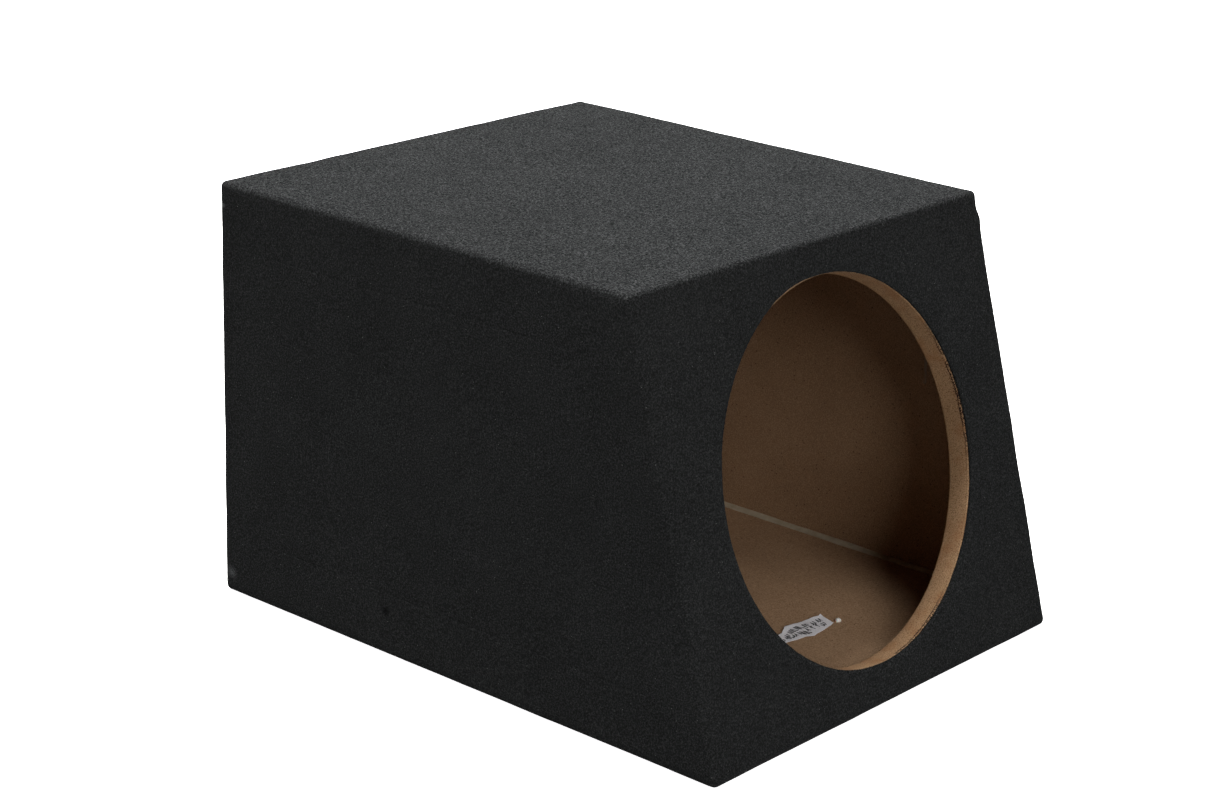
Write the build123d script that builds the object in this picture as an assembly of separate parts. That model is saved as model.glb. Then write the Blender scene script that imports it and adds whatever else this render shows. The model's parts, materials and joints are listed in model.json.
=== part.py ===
from build123d import *
import math
import os

# A carpeted speaker cabinet for one round driver: MDF boards, a carpet skin and
# a sprung wire terminal at the back. Millimetres, +Z up, front towards -Y, and
# the origin under the middle of the whole cabinet, on the floor.

# Cabinet, measured over the carpet and to the sharp corners
cabinet_width = 400.0
cabinet_height = 327.0
top_depth = 402.0
bottom_depth = 495.0
board = 18.0
edge_rounding = 5.5

# Driver cut-out in the sloping baffle
cutout_diameter = 283.0
cutout_above_middle = 2.5
carpet_cut_margin = 1.5

# Carpet
carpet = 2.5
carpet_flange = 49.0

# Brad nails through the side boards
brad_diameter = 1.6
brad_length = 38.0
brad_end_margin = 40.0
brads_per_long_joint = 4
brads_per_short_joint = 3

# Sealant and glue inside
bead_leg = 4.5
bead_end_gap = 0.5
drip_width = 3.0
drip_length = 44.0
drip_below_top = 109.0
drip_behind_baffle = 31.0
drop_radius = 2.6
drop_side = 51.5
drop_behind_baffle = 63.0

# Paper label on the floor inside
label_length = 86.0
label_width = 24.0
label_thickness = 0.4
label_turn = -2.0
label_side = 4.0
label_behind_baffle = 71.0

# Terminal cup at the back
cup_above_floor = 118.0
cup_flange_side_margin = 14.0
cup_flange_end_margin = 10.0
cup_flange_thickness = 2.5
cup_flange_corner = 8.0
cup_flange_rounding = 1.2
recess_mouth_chamfer = 0.7
cup_wall = 2.0
recess_side_margin = 2.7
recess_above_levers = 7.7
recess_below_levers = 4.3
recess_depth = 22.0
recess_corner = 3.0
cup_fit = 1.0
gasket_inset = 2.0
gasket_carpet_gap = 0.5
mark_depth = 0.4
mark_size = 6.0
mark_stroke = 1.2

# Screws of the cup
screw_diameter = 3.5
screw_head_diameter = 7.0
screw_length = 16.0
screw_clearance = 0.4
screw_slot_size = 4.0
screw_slot_width = 0.8
screw_slot_depth = 0.7
screw_edge = 7.0

# Push levers of the cup
lever_width = 20.0
lever_thickness = 3.5
lever_height = 30.0
lever_face_depth = 5.0
lever_edge_rounding = 0.8
lever_side_gap = 0.3
pivot_above_recess_floor = 11.0
barrel_radius = 3.5
pin_diameter = 3.0
pin_running_gap = 0.05
lug_thickness = 2.5
lug_radius = 3.5
lug_spacing = 3.4
grip_rib_count = 4
grip_rib_width = 1.2
grip_rib_height = 0.6
grip_rib_pitch = 2.8
grip_rib_end_margin = 3.0

# Jaw of each lever, and the brass contact that it clamps the wire against
leg_below_pivot = 12.0
leg_thickness = 2.0
jaw_length = 5.5
jaw_thickness = 2.5
jaw_gap = 0.5
jaw_width = 7.0
contact_width = 8.0
contact_thickness = 1.0
contact_lip_height = 8.0
contact_lip_length = 6.0
contact_above_lever_end = 4.2
contact_tail = 12.0
wire_hole_diameter = 3.4

# Lever springs
spring_diameter = 5.0
spring_wire = 0.8
spring_below_pivot = 6.8
spring_end_gap = 0.05

# Worked out from the sizes above
slant = math.atan2(bottom_depth - top_depth, cabinet_height)
slant_length = cabinet_height / math.cos(slant)
carpet_rounding = edge_rounding + carpet
nose_angle = math.pi / 2 - slant
nose_setback = carpet_rounding / math.tan(nose_angle / 2) - carpet_rounding
rear_face = (bottom_depth - nose_setback - cup_flange_thickness) / 2
inner_half = cabinet_width / 2 - carpet - board
inner_floor = carpet + board
inner_ceiling = cabinet_height - carpet - board
inner_rear = rear_face - carpet - board
to_baffle_front = Vector(0, -math.cos(slant), math.sin(slant))
up_the_slant = Vector(0, math.sin(slant), math.cos(slant))
across = Vector(1, 0, 0)
lever_bay = lever_width + 2 * (lever_side_gap + lug_thickness)
lever_spacing = lever_bay + lug_spacing
recess_width = lever_spacing + lever_bay + 2 * recess_side_margin
recess_height = lever_height + recess_above_levers + recess_below_levers
cup_shell_width = recess_width + 2 * cup_wall
cup_shell_height = recess_height + 2 * cup_wall
cup_flange_width = cup_shell_width + 2 * cup_flange_side_margin
cup_flange_height = cup_shell_height + 2 * cup_flange_end_margin


def front_at(height, inset=0.0):
    """The y of the sloping front, moved inward by inset, at a height."""
    rise = bottom_depth - height * math.tan(slant)
    return rear_face - rise + inset / math.cos(slant)


def side_outline(inset):
    """The four corners of the cabinet's side view, rear bottom first, moved inward by inset."""
    low = inset
    high = cabinet_height - inset
    back = rear_face - inset
    return [
        (back, low),
        (back, high),
        (front_at(high, inset), high),
        (front_at(low, inset), low),
    ]


def side_prism(outline, x_low, x_high):
    """A solid whose side view is the outline and that runs from x_low to x_high."""
    corners = [Vector(x_low, y, z) for y, z in outline]
    face = Face(Wire.make_polygon(corners))
    return Solid.extrude(face, Vector(x_high - x_low, 0, 0))


def cabinet_block(inset, rounding):
    """The whole cabinet as one block, moved inward by inset, with rounded edges."""
    half = cabinet_width / 2 - inset
    block = side_prism(side_outline(inset), -half, half)
    return block.fillet(rounding, block.edges())


def rod(centre, direction, radius, length):
    """A cylinder from a centre point along a direction."""
    return Solid.make_cylinder(radius, length, Plane(origin=centre, z_dir=direction))


def block(x_range, y_range, z_range):
    """A box between two x, two y and two z values."""
    size = [high - low for low, high in (x_range, y_range, z_range)]
    return Solid.make_box(*size, Plane(origin=(x_range[0], y_range[0], z_range[0])))


def common(first, second):
    """The one solid that lies in both."""
    return first.intersect(second).solids()[0]


wood_block = cabinet_block(carpet, edge_rounding)
carpet_block = cabinet_block(0.0, carpet_rounding)


# Driver cut-out

def slant_point(rise, inset):
    """A point on the middle line of the front, a distance up the slope and an inset behind it."""
    foot = Vector(0, front_at(0.0), 0)
    return foot + up_the_slant * rise - to_baffle_front * inset


cutout_rise = slant_length / 2 + cutout_above_middle


def cutout_cylinder(radius):
    """A cylinder through the front on the driver's axis."""
    start = slant_point(cutout_rise, 2 * board + carpet)
    return rod(start, to_baffle_front, radius, 3 * board + carpet)


# Brad nails: rows through both side boards into the edges of the boards between them

def evenly(start, end, margin, count):
    """Points spread evenly between two ends, with a margin at each end."""
    run = end - start
    first = start + run.normalized() * margin
    step = (run.length - 2 * margin) / (count - 1)
    return [first + run.normalized() * (step * i) for i in range(count)]


def brad_places():
    """The points, at x = 0, of every brad that goes through one side."""
    half_board = carpet + board / 2
    top = cabinet_height - half_board
    top_row = evenly(
        Vector(0, rear_face, top), Vector(0, front_at(top), top), brad_end_margin, brads_per_long_joint
    )
    bottom_row = evenly(
        Vector(0, rear_face, half_board),
        Vector(0, front_at(half_board), half_board),
        brad_end_margin,
        brads_per_long_joint,
    )
    rear_row = evenly(
        Vector(0, rear_face - half_board, inner_floor),
        Vector(0, rear_face - half_board, inner_ceiling),
        brad_end_margin,
        brads_per_short_joint,
    )
    baffle_row = evenly(
        Vector(0, front_at(inner_floor, half_board), inner_floor),
        Vector(0, front_at(inner_ceiling, half_board), inner_ceiling),
        brad_end_margin,
        brads_per_short_joint,
    )
    return top_row + bottom_row + rear_row + baffle_row


def make_brads():
    """Every brad, its head flush with the outside of the side boards."""
    outside = cabinet_width / 2 - carpet
    brads = []
    for side in (-1, 1):
        for place in brad_places():
            start = place + across * (side * outside)
            brads.append(rod(start, across * -side, brad_diameter / 2, brad_length))
    return brads


brads = make_brads()


# Terminal cup: places measured from the outside of its flange

cup_front = rear_face + cup_flange_thickness
recess_floor = cup_front - recess_depth
cup_back = recess_floor - cup_wall
cup_middle = cup_above_floor
lever_face = cup_front - lever_face_depth
lever_back = lever_face - lever_thickness
lever_top = cup_middle + recess_height / 2 - recess_above_levers
lever_bottom = lever_top - lever_height
pivot_y = recess_floor + pivot_above_recess_floor
pivot_z = lever_top - lever_edge_rounding - barrel_radius
contact_low = lever_bottom + contact_above_lever_end


def rounded_plate(width, height, corner, y_low, y_high):
    """A plate square to Y, centred on the cup, with rounded corners."""
    plate = block(
        (-width / 2, width / 2), (y_low, y_high), (cup_middle - height / 2, cup_middle + height / 2)
    )
    return plate.fillet(corner, plate.edges().filter_by(Axis.Y))


def cup_screw_places():
    """The four screw centres on the flange's outside face."""
    x = cup_flange_width / 2 - screw_edge
    z = cup_flange_height / 2 - screw_edge
    return [Vector(sx * x, cup_front, cup_middle + sz * z) for sx in (-1, 1) for sz in (-1, 1)]


def screw_solid(place, gap):
    """A countersunk screw, or, with a gap, the hole that it passes through."""
    inward = Vector(0, -1, 0)
    radius = screw_diameter / 2 + gap
    head_radius = screw_head_diameter / 2 + gap
    cone_depth = head_radius - radius
    plane = Plane(origin=place, z_dir=inward)
    cone = Solid.make_cone(head_radius, radius, cone_depth, plane)
    return cone.fuse(rod(place, inward, radius, screw_length))


def cross_slot(place):
    """The cross recess in a screw's head."""
    half = screw_slot_size / 2
    thin = screw_slot_width / 2
    depth = (place.Y - screw_slot_depth, place.Y + 1)
    flat = block((place.X - half, place.X + half), depth, (place.Z - thin, place.Z + thin))
    upright = block((place.X - thin, place.X + thin), depth, (place.Z - half, place.Z + half))
    return flat.fuse(upright)


def lever_centre(side):
    """The x of a lever's middle."""
    return side * lever_spacing / 2


def lever_lugs(side):
    """The two ears that carry one lever's pin, standing on the recess floor."""
    lugs = []
    for face in (-1, 1):
        near = lever_centre(side) + face * (lever_width / 2 + lever_side_gap)
        x_range = sorted((near, near + face * lug_thickness))
        post = block(x_range, (cup_back, pivot_y), (pivot_z - lug_radius, pivot_z + lug_radius))
        start = Vector(x_range[0], pivot_y, pivot_z)
        lugs.append(post.fuse(rod(start, across, lug_radius, lug_thickness)))
    return lugs


def pin_solid(side, radius, length):
    """A rod on the pivot axis of one lever, centred on it."""
    start = Vector(lever_centre(side) - length / 2, pivot_y, pivot_z)
    return rod(start, across, radius, length)


def contact_outline():
    """Side view of a brass contact: tail through the cup, post, and lip over the jaw."""
    low = contact_low
    lip_top = recess_floor + contact_lip_height
    tail = cup_back - contact_tail
    return [
        (tail, low),
        (lip_top, low),
        (lip_top, low + contact_lip_length),
        (lip_top - contact_thickness, low + contact_lip_length),
        (lip_top - contact_thickness, low + contact_thickness),
        (tail, low + contact_thickness),
    ]


def make_contact(side):
    """One contact, with the hole that the bare wire passes through."""
    middle = lever_centre(side)
    strip = side_prism(contact_outline(), middle - contact_width / 2, middle + contact_width / 2)
    jaw_face = recess_floor + contact_lip_height - contact_thickness
    wire_centre = jaw_face - wire_hole_diameter / 2
    start = Vector(middle, wire_centre, contact_low - contact_thickness)
    hole = rod(start, Vector(0, 0, 1), wire_hole_diameter / 2, 3 * contact_thickness)
    return strip.cut(hole)


def edges_level_with(solid, y):
    """The edges of a solid that lie wholly at one y."""
    return solid.edges().filter_by_position(Axis.Y, y, y).filter_by(
        lambda edge: abs(edge.bounding_box().size.Y) < 1e-4
    )


def is_on(edge, solid):
    """True if the edge's middle lies on the solid."""
    return Vertex(edge @ 0.5).distance_to(solid) < 1e-4


def make_cup():
    """The moulded cup: flange, recess, pin lugs, contact slots, screw holes and polarity marks."""
    flange = rounded_plate(cup_flange_width, cup_flange_height, cup_flange_corner, rear_face, cup_front)
    corner = recess_corner + cup_wall
    shell = rounded_plate(cup_shell_width, cup_shell_height, corner, cup_back, rear_face)
    recess = rounded_plate(recess_width, recess_height, recess_corner, recess_floor, cup_front)
    flange = flange.fillet(cup_flange_rounding, edges_level_with(flange, cup_front))
    mouth = edges_level_with(flange.cut(recess), cup_front).filter_by(lambda edge: is_on(edge, recess))
    cup = flange.cut(recess).chamfer(recess_mouth_chamfer, None, mouth)
    cup = cup.fuse(shell.cut(recess))
    for side in (-1, 1):
        cup = cup.fuse(*lever_lugs(side))
        cup = cup.cut(pin_solid(side, pin_diameter / 2, lever_bay), make_contact(side))
    for place in cup_screw_places():
        cup = cup.cut(screw_solid(place, screw_clearance))
    for mark in polarity_marks():
        cup = cup.cut(mark)
    return cup


def polarity_marks():
    """Sunk strokes under the levers: a plus on the right and a minus on the left."""
    depth = (cup_front - mark_depth, cup_front + 1)
    middle = cup_middle - (recess_height / 2 + cup_flange_height / 2) / 2
    marks = []
    for side in (-1, 1):
        x = lever_centre(side)
        marks.append(
            block(
                (x - mark_size / 2, x + mark_size / 2),
                depth,
                (middle - mark_stroke / 2, middle + mark_stroke / 2),
            )
        )
    x = lever_centre(1)
    marks.append(
        block(
            (x - mark_stroke / 2, x + mark_stroke / 2),
            depth,
            (middle - mark_size / 2, middle + mark_size / 2),
        )
    )
    return marks


def make_gasket():
    """The foam ring between the cup's flange and the rear board."""
    gasket = gasket_plate(0.0).cut(cup_passage())
    for place in cup_screw_places():
        gasket = gasket.cut(screw_solid(place, screw_clearance))
    return gasket


def gasket_plate(gap):
    """The gasket's outline as a plate, or, with a gap, the window cut for it in the carpet."""
    return rounded_plate(
        cup_flange_width - 2 * (gasket_inset - gap),
        cup_flange_height - 2 * (gasket_inset - gap),
        cup_flange_corner - gasket_inset + gap,
        rear_face - carpet,
        rear_face,
    )


def cup_passage():
    """The hole through the rear board and the gasket that the cup's shell passes through."""
    return rounded_plate(
        cup_shell_width + 2 * cup_fit,
        cup_shell_height + 2 * cup_fit,
        recess_corner + cup_wall + cup_fit,
        inner_rear - 1,
        rear_face + 1,
    )


def make_cup_screws():
    """The four screws, each with its cross recess."""
    return [screw_solid(place, 0.0).cut(cross_slot(place)) for place in cup_screw_places()]


def make_lever(side):
    """One push lever: thumb plate with grip ribs, pivot barrel, leg and jaw."""
    middle = lever_centre(side)
    wide = (middle - lever_width / 2, middle + lever_width / 2)
    narrow = (middle - jaw_width / 2, middle + jaw_width / 2)
    plate = block(wide, (lever_back, lever_face), (lever_bottom, lever_top))
    plate = plate.fillet(lever_edge_rounding, plate.edges())
    barrel_start = Vector(wide[0], pivot_y, pivot_z)
    barrel = rod(barrel_start, across, barrel_radius, lever_width)
    leg_high = pivot_z - leg_below_pivot
    leg_low = leg_high - leg_thickness
    jaw_front = recess_floor + contact_lip_height - contact_thickness - jaw_gap
    jaw_back = jaw_front - jaw_thickness
    web_depth = (lever_back - lever_edge_rounding, lever_back + lever_thickness / 2)
    neck = block(wide, (pivot_y, web_depth[1]), (pivot_z - barrel_radius, pivot_z + barrel_radius))
    leg = block(narrow, (jaw_back, web_depth[1]), (leg_low, leg_high))
    jaw = block(narrow, (jaw_back, jaw_front), (leg_high - jaw_length, leg_high))
    lever = plate.fuse(barrel, neck, leg, jaw)
    for i in range(grip_rib_count):
        low = lever_bottom + grip_rib_end_margin + i * grip_rib_pitch
        rib_x = (wide[0] + grip_rib_end_margin, wide[1] - grip_rib_end_margin)
        rib_y = (lever_face - lever_edge_rounding, lever_face + grip_rib_height)
        lever = lever.fuse(block(rib_x, rib_y, (low, low + grip_rib_width)))
    return lever.cut(pin_solid(side, pin_diameter / 2 + pin_running_gap, lever_width + 2))


def make_spring(side):
    """The space of one coil spring, as a tube from the recess floor to the lever's back."""
    start = Vector(lever_centre(side), recess_floor + spring_end_gap, pivot_z - spring_below_pivot)
    length = lever_back - recess_floor - 2 * spring_end_gap
    out = Vector(0, 1, 0)
    tube = rod(start, out, spring_diameter / 2, length)
    return tube.cut(rod(start, out, spring_diameter / 2 - spring_wire, length))


# Boards

def make_side_board(side):
    """One full side board, the outermost slice of the wood block."""
    outside = side * cabinet_width
    x_range = sorted((side * inner_half, outside))
    slab = block(x_range, (-bottom_depth, bottom_depth), (-1, cabinet_height + 1))
    return common(wood_block, slab).cut(*brads)


def make_top_board():
    """The top board, between the side boards and over the rear board and the baffle."""
    slab = block(
        (-inner_half, inner_half), (-bottom_depth, bottom_depth), (inner_ceiling, cabinet_height)
    )
    return common(wood_block, slab).cut(*brads)


def make_bottom_board():
    """The bottom board, between the side boards and under the rear board and the baffle."""
    slab = block((-inner_half, inner_half), (-bottom_depth, bottom_depth), (0, inner_floor))
    return common(wood_block, slab).cut(*brads)


def make_rear_board():
    """The rear board, with the terminal cup's opening and its screw holes."""
    slab = block(
        (-inner_half, inner_half), (inner_rear, rear_face - carpet), (inner_floor, inner_ceiling)
    )
    slab = slab.cut(cup_passage())
    for place in cup_screw_places():
        slab = slab.cut(screw_solid(place, pin_running_gap))
    return slab.cut(*brads)


def make_baffle():
    """The sloping front board with the driver cut-out."""
    outline = [
        (front_at(inner_floor, carpet), inner_floor),
        (front_at(inner_ceiling, carpet), inner_ceiling),
        (front_at(inner_ceiling, carpet + board), inner_ceiling),
        (front_at(inner_floor, carpet + board), inner_floor),
    ]
    slab = side_prism(outline, -inner_half, inner_half)
    return slab.cut(cutout_cylinder(cutout_diameter / 2)).cut(*brads)


# Carpet: a sheet wrapped over rear, top and front, one under the bottom, and one in each side

def make_side_carpet(side):
    """The middle piece of one side, inside the folded flanges."""
    outside = side * cabinet_width / 2
    x_range = sorted((outside, outside - side * carpet))
    return side_prism(side_outline(carpet_flange), *x_range)


def carpet_shell():
    """The whole carpet skin, without the side pieces."""
    shell = carpet_block.cut(wood_block)
    return shell.cut(make_side_carpet(-1), make_side_carpet(1))


def bottom_region():
    """The space under the mitre planes that start at the two bottom edges."""
    inner = side_outline(carpet_flange)
    outer = side_outline(-carpet_flange)
    outline = [outer[0], inner[0], inner[3], outer[3]]
    return side_prism(outline, -cabinet_width, cabinet_width)


def make_carpet_wrap():
    """The sheet over the rear, the top and the front, with its flanges on both sides."""
    wrap = carpet_shell().cut(bottom_region())
    wrap = wrap.cut(cutout_cylinder(cutout_diameter / 2 + carpet_cut_margin))
    return wrap.cut(gasket_plate(gasket_carpet_gap))


def make_bottom_carpet():
    """The sheet under the bottom, with its flanges on both sides."""
    return common(carpet_shell(), bottom_region())


# Sealant and glue

def bead(start, end, along_a, along_b):
    """A three-cornered bead in an inside joint, leaving room at both ends for its neighbours."""
    run = (end - start).normalized()
    pull = run * (bead_leg / math.tan(nose_angle / 2) + bead_end_gap)
    foot = start + pull
    section = Face(Wire.make_polygon([foot, foot + along_a * bead_leg, foot + along_b * bead_leg]))
    return Solid.extrude(section, end - start - pull * 2)


def make_beads():
    """One bead for each of the twelve inside joints, by node name."""
    up = Vector(0, 0, 1)
    forward = Vector(0, -1, 0)
    behind_baffle = to_baffle_front * -1
    low_front = front_at(inner_floor, carpet + board)
    high_front = front_at(inner_ceiling, carpet + board)
    beads = {}
    for name, side in (("left", -1), ("right", 1)):
        x = side * inner_half
        inward = across * -side
        rear_low = Vector(x, inner_rear, inner_floor)
        rear_high = Vector(x, inner_rear, inner_ceiling)
        front_low = Vector(x, low_front, inner_floor)
        front_high = Vector(x, high_front, inner_ceiling)
        beads[f"sealant_floor_{name}"] = bead(rear_low, front_low, up, inward)
        beads[f"sealant_top_{name}"] = bead(rear_high, front_high, up * -1, inward)
        beads[f"sealant_rear_{name}"] = bead(rear_low, rear_high, forward, inward)
        beads[f"sealant_baffle_{name}"] = bead(front_low, front_high, behind_baffle, inward)
    for name, z, vertical, front_y in (
        ("floor", inner_floor, up, low_front),
        ("top", inner_ceiling, up * -1, high_front),
    ):
        along_baffle = up_the_slant * vertical.Z
        for end_name, y, wall, level in (
            ("rear", inner_rear, vertical, forward),
            ("baffle", front_y, along_baffle, forward * -1),
        ):
            left_end = Vector(-inner_half, y, z)
            right_end = Vector(inner_half, y, z)
            beads[f"sealant_{name}_{end_name}"] = bead(left_end, right_end, wall, level)
    return beads


def make_drip():
    """A run of glue on the inside of the right side board, ending in a drop."""
    top = cabinet_height - drip_below_top
    y = front_at(top, carpet + board) + drip_behind_baffle
    radius = drip_width / 2
    low = Vector(inner_half, y, top - drip_length)
    run = rod(low, Vector(0, 0, 1), radius, drip_length)
    ball = Solid.make_sphere(radius, Plane(origin=low))
    wall_side = block((inner_half - radius, inner_half), (y - radius, y + radius), (0, cabinet_height))
    return common(run.fuse(ball), wall_side)


def floor_place(x, behind_baffle):
    """A point on the inside floor, a distance behind the foot of the baffle."""
    return Vector(x, front_at(inner_floor, carpet + board) + behind_baffle, inner_floor)


def make_drop():
    """A drop of glue on the inside floor, just past the label's end."""
    centre = floor_place(drop_side, drop_behind_baffle)
    ball = Solid.make_sphere(drop_radius, Plane(origin=centre))
    above = block(
        (centre.X - drop_radius, centre.X + drop_radius),
        (centre.Y - drop_radius, centre.Y + drop_radius),
        (inner_floor, inner_floor + drop_radius),
    )
    return common(ball, above)


def make_label():
    """A strip of paper lying on the inside floor."""
    middle = floor_place(label_side, label_behind_baffle)
    turned = Plane(origin=middle).rotated((0, 0, label_turn))
    corner = turned.from_local_coords(Vector(-label_length / 2, -label_width / 2, 0))
    plane = Plane(origin=corner, x_dir=turned.x_dir, z_dir=(0, 0, 1))
    return Solid.make_box(label_length, label_width, label_thickness, plane)


# Every node and its solids

nodes = {
    "left_side_board": make_side_board(-1),
    "right_side_board": make_side_board(1),
    "top_board": make_top_board(),
    "bottom_board": make_bottom_board(),
    "rear_board": make_rear_board(),
    "front_baffle": make_baffle(),
    "brad_nails": brads,
    "carpet_wrap": make_carpet_wrap(),
    "bottom_carpet": make_bottom_carpet(),
    "left_side_carpet": make_side_carpet(-1),
    "right_side_carpet": make_side_carpet(1),
    "glue_drip": make_drip(),
    "glue_drop": make_drop(),
    "paper_label": make_label(),
    "terminal_cup": make_cup(),
    "cup_gasket": make_gasket(),
    "cup_screws": make_cup_screws(),
}
for name, side in (("black", -1), ("red", 1)):
    nodes[f"{name}_lever"] = make_lever(side)
    nodes[f"{name}_lever_pin"] = pin_solid(side, pin_diameter / 2, lever_bay)
    nodes[f"{name}_lever_spring"] = make_spring(side)
    nodes[f"{name}_contact"] = make_contact(side)
nodes.update(make_beads())

os.makedirs("parts", exist_ok=True)
for name, made in nodes.items():
    solids = []
    for item in made if isinstance(made, list) else [made]:
        solids.extend(item.solids())
    export_step(Compound(children=solids) if len(solids) > 1 else solids[0], f"parts/{name}.step")

total_depth = 2 * (rear_face + cup_flange_thickness)
print("overall size", cabinet_width, round(total_depth, 3), cabinet_height)
print("baffle slant in degrees", round(math.degrees(slant), 3))
middle = slant_point(cutout_rise, carpet)
print("cut-out centre on the baffle's face", [round(v, 3) for v in middle])
print("lever pivot y and z", round(pivot_y, 3), round(pivot_z, 3))
print("rear face y", round(rear_face, 3), "inner rear y", round(inner_rear, 3))
print("inner floor and ceiling z", inner_floor, inner_ceiling, "inner half width", inner_half)
for height in (inner_floor, inner_ceiling):
    print("baffle inside y at z", height, round(front_at(height, carpet + board), 3))
print("lever face y", round(lever_face, 3), "recess floor y", round(recess_floor, 3))
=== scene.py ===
import json
import math

import bmesh
import bpy
import numpy as np
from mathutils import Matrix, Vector


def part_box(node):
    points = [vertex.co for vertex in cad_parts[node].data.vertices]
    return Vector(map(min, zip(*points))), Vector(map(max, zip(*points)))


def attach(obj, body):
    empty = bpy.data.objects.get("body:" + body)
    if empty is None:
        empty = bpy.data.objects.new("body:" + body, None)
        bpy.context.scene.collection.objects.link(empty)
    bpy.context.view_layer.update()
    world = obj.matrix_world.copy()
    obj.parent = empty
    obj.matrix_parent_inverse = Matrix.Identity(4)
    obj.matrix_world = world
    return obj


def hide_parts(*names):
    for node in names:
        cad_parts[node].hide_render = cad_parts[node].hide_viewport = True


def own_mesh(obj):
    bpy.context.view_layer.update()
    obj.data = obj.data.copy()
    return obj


# A wedge-shaped speaker cabinet of MDF in charcoal felt carpet, with one round driver
# cut-out in the sloping baffle and a sprung wire terminal at the back.
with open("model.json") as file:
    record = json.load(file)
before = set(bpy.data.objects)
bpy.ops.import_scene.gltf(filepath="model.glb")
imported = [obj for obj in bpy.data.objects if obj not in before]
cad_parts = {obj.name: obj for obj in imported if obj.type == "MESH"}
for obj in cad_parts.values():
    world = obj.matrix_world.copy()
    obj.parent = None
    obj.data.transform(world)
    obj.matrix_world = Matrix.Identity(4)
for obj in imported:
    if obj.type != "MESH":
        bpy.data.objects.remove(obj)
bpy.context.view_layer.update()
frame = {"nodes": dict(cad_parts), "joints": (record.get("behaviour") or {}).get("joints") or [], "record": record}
nodes = frame["nodes"]
mm = 0.001
print("frame loaded:", len(nodes), "nodes")


# Small tools

def noiseField(points, cell, seed):
    # smooth noise from -1 to 1: seeded random values on a cubic lattice of that cell size,
    # joined by the curve t * t * (3 - 2 * t) along each axis
    lattice = np.random.default_rng(seed).uniform(-1, 1, (64, 64, 64))
    scaled = points / cell + 200.37
    low = np.floor(scaled).astype(int)
    t = scaled - low
    t = t * t * (3 - 2 * t)
    total = np.zeros(len(points))
    for corner in np.ndindex(2, 2, 2):
        step = np.array(corner)
        index = (low + step) % 64
        weight = np.where(step, t, 1 - t).prod(axis=1)
        total += weight * lattice[index[:, 0], index[:, 1], index[:, 2]]
    return total


def gridFaces(rows, columns, wrapRows=False, wrapColumns=False):
    # the four corners of every cell of a grid of points, row by row
    r, c = np.meshgrid(
        np.arange(rows if wrapRows else rows - 1),
        np.arange(columns if wrapColumns else columns - 1),
        indexing="ij",
    )
    r2, c2 = (r + 1) % rows, (c + 1) % columns
    cells = [r * columns + c, r * columns + c2, r2 * columns + c2, r2 * columns + c]
    return np.stack(cells, axis=-1).reshape(-1, 4)


def gridBorder(x, y):
    # the border points of a grid, once round: y low, x high, y high, x low
    across, up = np.ones(len(x) - 1), np.ones(len(y) - 1)
    xs = np.concatenate([x[:-1], x[-1] * up, x[:0:-1], x[0] * up])
    ys = np.concatenate([y[0] * across, y[:-1], y[-1] * across, y[:0:-1]])
    return np.stack([xs, ys], 1)


def turnedOut(points, faces, outward=None):
    # faces turned round if their normals (the cross product of each one's diagonals) point against
    # the outward direction of each point; a closed surface's points serve as that direction
    # themselves, because the sum of point . normal is then positive when its volume is
    first, second, third, fourth = (points[faces[:, i]] for i in range(4))
    normals = np.cross(third - first, fourth - second)
    away = points if outward is None else outward
    score = (away[faces].mean(axis=1) * normals).sum()
    return faces[:, ::-1] if score < 0 else faces


def unit(vectors):
    # each row divided by its length
    return vectors / np.linalg.norm(vectors, axis=-1, keepdims=True)


def boxOf(node):
    # the low and high corners of a part of the frame
    return (np.array(corner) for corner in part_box(node))


def makePiece(name, points, faces, material, weld=0.0, shades=None):
    # puts the arrays into a smooth mesh object at the origin that rides on the cabinet
    mesh = bpy.data.meshes.new(name)
    mesh.from_pydata(points.tolist(), [], [list(face) for face in faces])
    for key, values in (shades or {}).items():
        attribute = mesh.attributes.new(key, "FLOAT", "POINT")
        attribute.data.foreach_set("value", values.astype(np.float32))
    if weld:
        work = bmesh.new()
        work.from_mesh(mesh)
        bmesh.ops.remove_doubles(work, verts=work.verts, dist=weld)
        work.to_mesh(mesh)
        work.free()
    mesh.polygons.foreach_set("use_smooth", np.full(len(mesh.polygons), True))
    mesh.validate()
    mesh.update()
    piece = bpy.data.objects.new(name, mesh)
    bpy.context.scene.collection.objects.link(piece)
    mesh.materials.append(material)
    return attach(piece, "root")


def joined(patches):
    # several (points, faces) patches as one set of arrays
    offsets = np.cumsum([0] + [len(patch[0]) for patch in patches[:-1]])
    points = np.concatenate([patch[0] for patch in patches])
    faces = np.concatenate([patch[1] + offset for patch, offset in zip(patches, offsets)])
    return points, faces


def sweep(path, sideways, upward, closed=False):
    # a skin over cross-sections: path + sideways[i] * a + upward[i] * b, where a and b are the
    # section's two coordinates at each step, with both ends closed by a fan to their middle
    rows, columns = sideways.shape[:2]
    points = (path[:, None, :] + sideways + upward).reshape(-1, 3)
    faces = gridFaces(rows, columns, wrapRows=closed, wrapColumns=True)
    if closed:
        return points, turnedOut(points, faces)
    first = points[:columns].mean(axis=0)
    last = points[-columns:].mean(axis=0)
    points = np.concatenate([points, [first, last]])
    ring = np.arange(columns)
    after = (ring + 1) % columns
    tail = (rows - 1) * columns
    hub = np.full(columns, rows * columns)
    start = np.stack([ring, hub, hub, after], 1)
    end = np.stack([after + tail, hub + 1, hub + 1, ring + tail], 1)
    return points, turnedOut(points, np.concatenate([faces, start, end]))


def withTriangles(faces):
    # a cell whose second and third corners are the same point becomes a triangle
    return [[f[0], f[1], f[3]] if f[1] == f[2] else list(f) for f in faces.tolist()]


# Materials

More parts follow.
